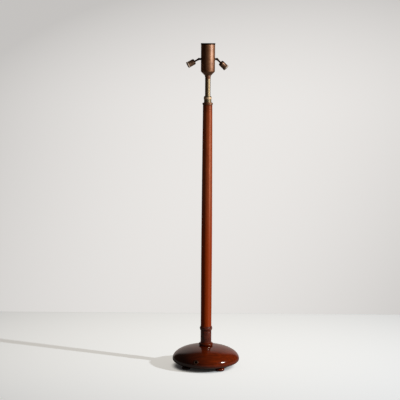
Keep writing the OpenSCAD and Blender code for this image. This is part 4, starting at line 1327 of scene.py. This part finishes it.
def pale_floor():
    """Smooth matt studio floor. The key lamp gives a quarter of its brightness and all of its
    shadow; the camera sees the rest as a painted glow: painted light that is brightest behind the
    lamp, with painted shade that goes dark under the base and at the wall."""
    material, tree, shader, place_on = begin(
        "pale_floor", {"Roughness": 0.9, "Specular IOR Level": 0.0, "Emission Color": "#FFFBF2"}
    )
    # painted light: the glow is brightest behind the lamp, and darker with the square of the
    # distance from there
    from_spot = add(tree, "VectorMath", {0: place_on, 1: bright_spot}, operation="SUBTRACT")
    squared = add(tree, "VectorMath", {0: from_spot, 1: from_spot}, operation="DOT_PRODUCT")
    tone = add(
        tree, "MapRange", {"Value": squared, "From Max": 3.0, "To Min": 0.57, "To Max": 0.163}
    )
    # painted shade: what lies within 60 mm, towards the open side on the right, takes a point's glow
    # away
    open_side = add(tree, "CombineXYZ", {"X": 0.5, "Z": 0.87})
    cover = add(tree, "AmbientOcclusion", {"Normal": open_side, "Distance": 0.06}, samples=16)
    unshaded_share = add(
        tree,
        "MapRange",
        {"Value": cover.outputs["AO"], "From Min": 0.22, "From Max": 0.55, "To Min": 0.02},
        interpolation_type="SMOOTHSTEP",
    )
    # painted shade: a soft dark line in the corner where floor and wall meet
    apart = add(tree, "SeparateXYZ", {"Vector": place_on}).outputs
    corner_shade = add(
        tree,
        "MapRange",
        {
            "Value": apart["Y"],
            "From Min": wall_back - corner_shade_width,
            "From Max": wall_back,
            "To Min": 1.0,
            "To Max": 0.88,
        },
    )
    painted_shade_tone = add(tree, "Math", {0: tone, 1: unshaded_share}, operation="MULTIPLY")
    corner_shaded_tone = add(tree, "Math", {0: painted_shade_tone, 1: corner_shade}, operation="MULTIPLY")
    ray = add(tree, "LightPath").outputs
    mirrored = add(tree, "Math", {0: ray["Is Glossy Ray"], 1: 0.11}, operation="MULTIPLY")
    seen = add(tree, "Math", {0: ray["Is Camera Ray"], 1: mirrored}, operation="MAXIMUM")
    glow = add(tree, "Math", {0: corner_shaded_tone, 1: seen}, operation="MULTIPLY")
    # what the key lamp lights is a little cool, so that its shadow is left warm; the floor
    # throws less light back at the lamp than the camera sees
    paint = add(
        tree, "Mix", {0: ray["Is Camera Ray"], 6: "#7C7975", 7: "#CBD7E4"}, data_type="RGBA"
    )
    feed(shader, {"Emission Strength": glow, "Base Color": paint})
    return material


floor.data.materials.append(pale_floor())

key_reach = key_distance * math.cos(key_rise)
key_place = Vector(
    (
        key_reach * math.cos(key_turn),
        key_reach * math.sin(key_turn),
        key_distance * math.sin(key_rise),
    )
)
bpy.ops.object.light_add(type="AREA", location=key_place)
key = bpy.context.object
key.name = "key_lamp"
key.data.shape = "RECTANGLE"
key.data.size = key_size
key.data.size_y = key_tall
key.data.energy = key_power
key.data.color = linear("#FFF8F0")[:3]
key.rotation_euler = (key_aim - key_place).to_track_quat("-Z", "Y").to_euler()

# the wall is the world's colour: pale to the camera from every side, and in mirrors where it
# stands, some 1.3 m high and 1.3 m wide; the rest of the studio is dark
bright_right = 0.03
bright_below = 0.0589
bright_lean = -0.328
fall_across = 2.18
fall_upright = 1.327
fall_above = 4.234
wall_bright = 0.826
wall_dim = 0.556
dim_distance_squared = 0.25
mirrored_wall = 0.5
mirrored_dark = 0.045
fill_light = 0.1

world = bpy.data.worlds.new("studio")
bpy.context.scene.world = world
world.use_nodes = True
air = world.node_tree
toward = add(air, "TexCoord").outputs["Generated"]
apart = add(air, "SeparateXYZ", {"Vector": toward}).outputs
ray = add(air, "LightPath").outputs
# brightest a little right of the stem's middle and further right higher up, falling off
# faster upwards than downwards
upward = add(air, "Math", {0: apart["Z"], 1: bright_below}, operation="ADD")
leaning = add(air, "Math", {0: upward, 1: bright_lean}, operation="MULTIPLY")
centred = add(air, "Math", {0: apart["X"], 1: bright_right}, operation="SUBTRACT")
across = add(air, "Math", {0: centred, 1: leaning}, operation="ADD")
above = add(air, "Math", {0: upward, 1: 0.0}, operation="MAXIMUM")
weighed = {}
for axis, offset, weight in (
    ("X", across, fall_across),
    ("Y", upward, fall_upright),
    ("Z", above, fall_above),
):
    weighed[axis] = add(air, "Math", {0: offset, 1: weight}, operation="MULTIPLY")
spread = add(air, "CombineXYZ", weighed)
squared = add(air, "VectorMath", {0: spread, 1: spread}, operation="DOT_PRODUCT")
wall_tone = add(
    air,
    "MapRange",
    {"Value": squared, "From Max": dim_distance_squared, "To Min": wall_bright, "To Max": wall_dim},
)
# in mirrors the wall fades out at its top and its sides
ahead = add(air, "Math", {0: apart["Y"], 1: 0.001}, operation="MAXIMUM")
steepness = add(air, "Math", {0: apart["Z"], 1: ahead}, operation="DIVIDE")
below_top = add(
    air,
    "MapRange",
    {"Value": steepness, "From Min": 0.6, "From Max": 1.4, "To Min": mirrored_wall, "To Max": 0.0},
    interpolation_type="SMOOTHSTEP",
)
aside = add(air, "Math", {0: apart["X"], 1: ahead}, operation="DIVIDE")
either_side = add(air, "Math", {0: aside}, operation="ABSOLUTE")
within_sides = add(
    air,
    "MapRange",
    {"Value": either_side, "From Min": 0.4, "From Max": 0.75, "To Min": 1.0, "To Max": 0.0},
    interpolation_type="SMOOTHSTEP",
)
on_wall = add(air, "Math", {0: below_top, 1: within_sides}, operation="MULTIPLY")
mirrored = add(air, "Math", {0: on_wall, 1: mirrored_dark}, operation="MAXIMUM")
mirror = add(
    air, "Math", {0: ray["Is Glossy Ray"], 1: ray["Is Transmission Ray"]}, operation="MAXIMUM"
)
unseen = add(air, "Mix", {0: mirror, 2: fill_light, 3: mirrored})
strength = add(air, "Mix", {0: ray["Is Camera Ray"], 2: unseen, 3: wall_tone})
# the dark part of the studio is warmer than its pale wall
off_wall = add(air, "MapRange", {"Value": on_wall, "From Max": 0.1, "To Min": 1.0, "To Max": 0.0})
warmth = add(air, "Math", {0: off_wall, 1: mirror}, operation="MULTIPLY")
surroundings = add(air, "Mix", {0: warmth, 6: "#FFE8DE", 7: "#FFD0B0"}, data_type="RGBA")
paint = add(air, "Mix", {0: ray["Is Camera Ray"], 6: surroundings, 7: "#FFFCF9"}, data_type="RGBA")
feed(air.nodes["Background"], {"Strength": strength, "Color": paint})

bpy.context.scene.view_settings.view_transform = "Standard"
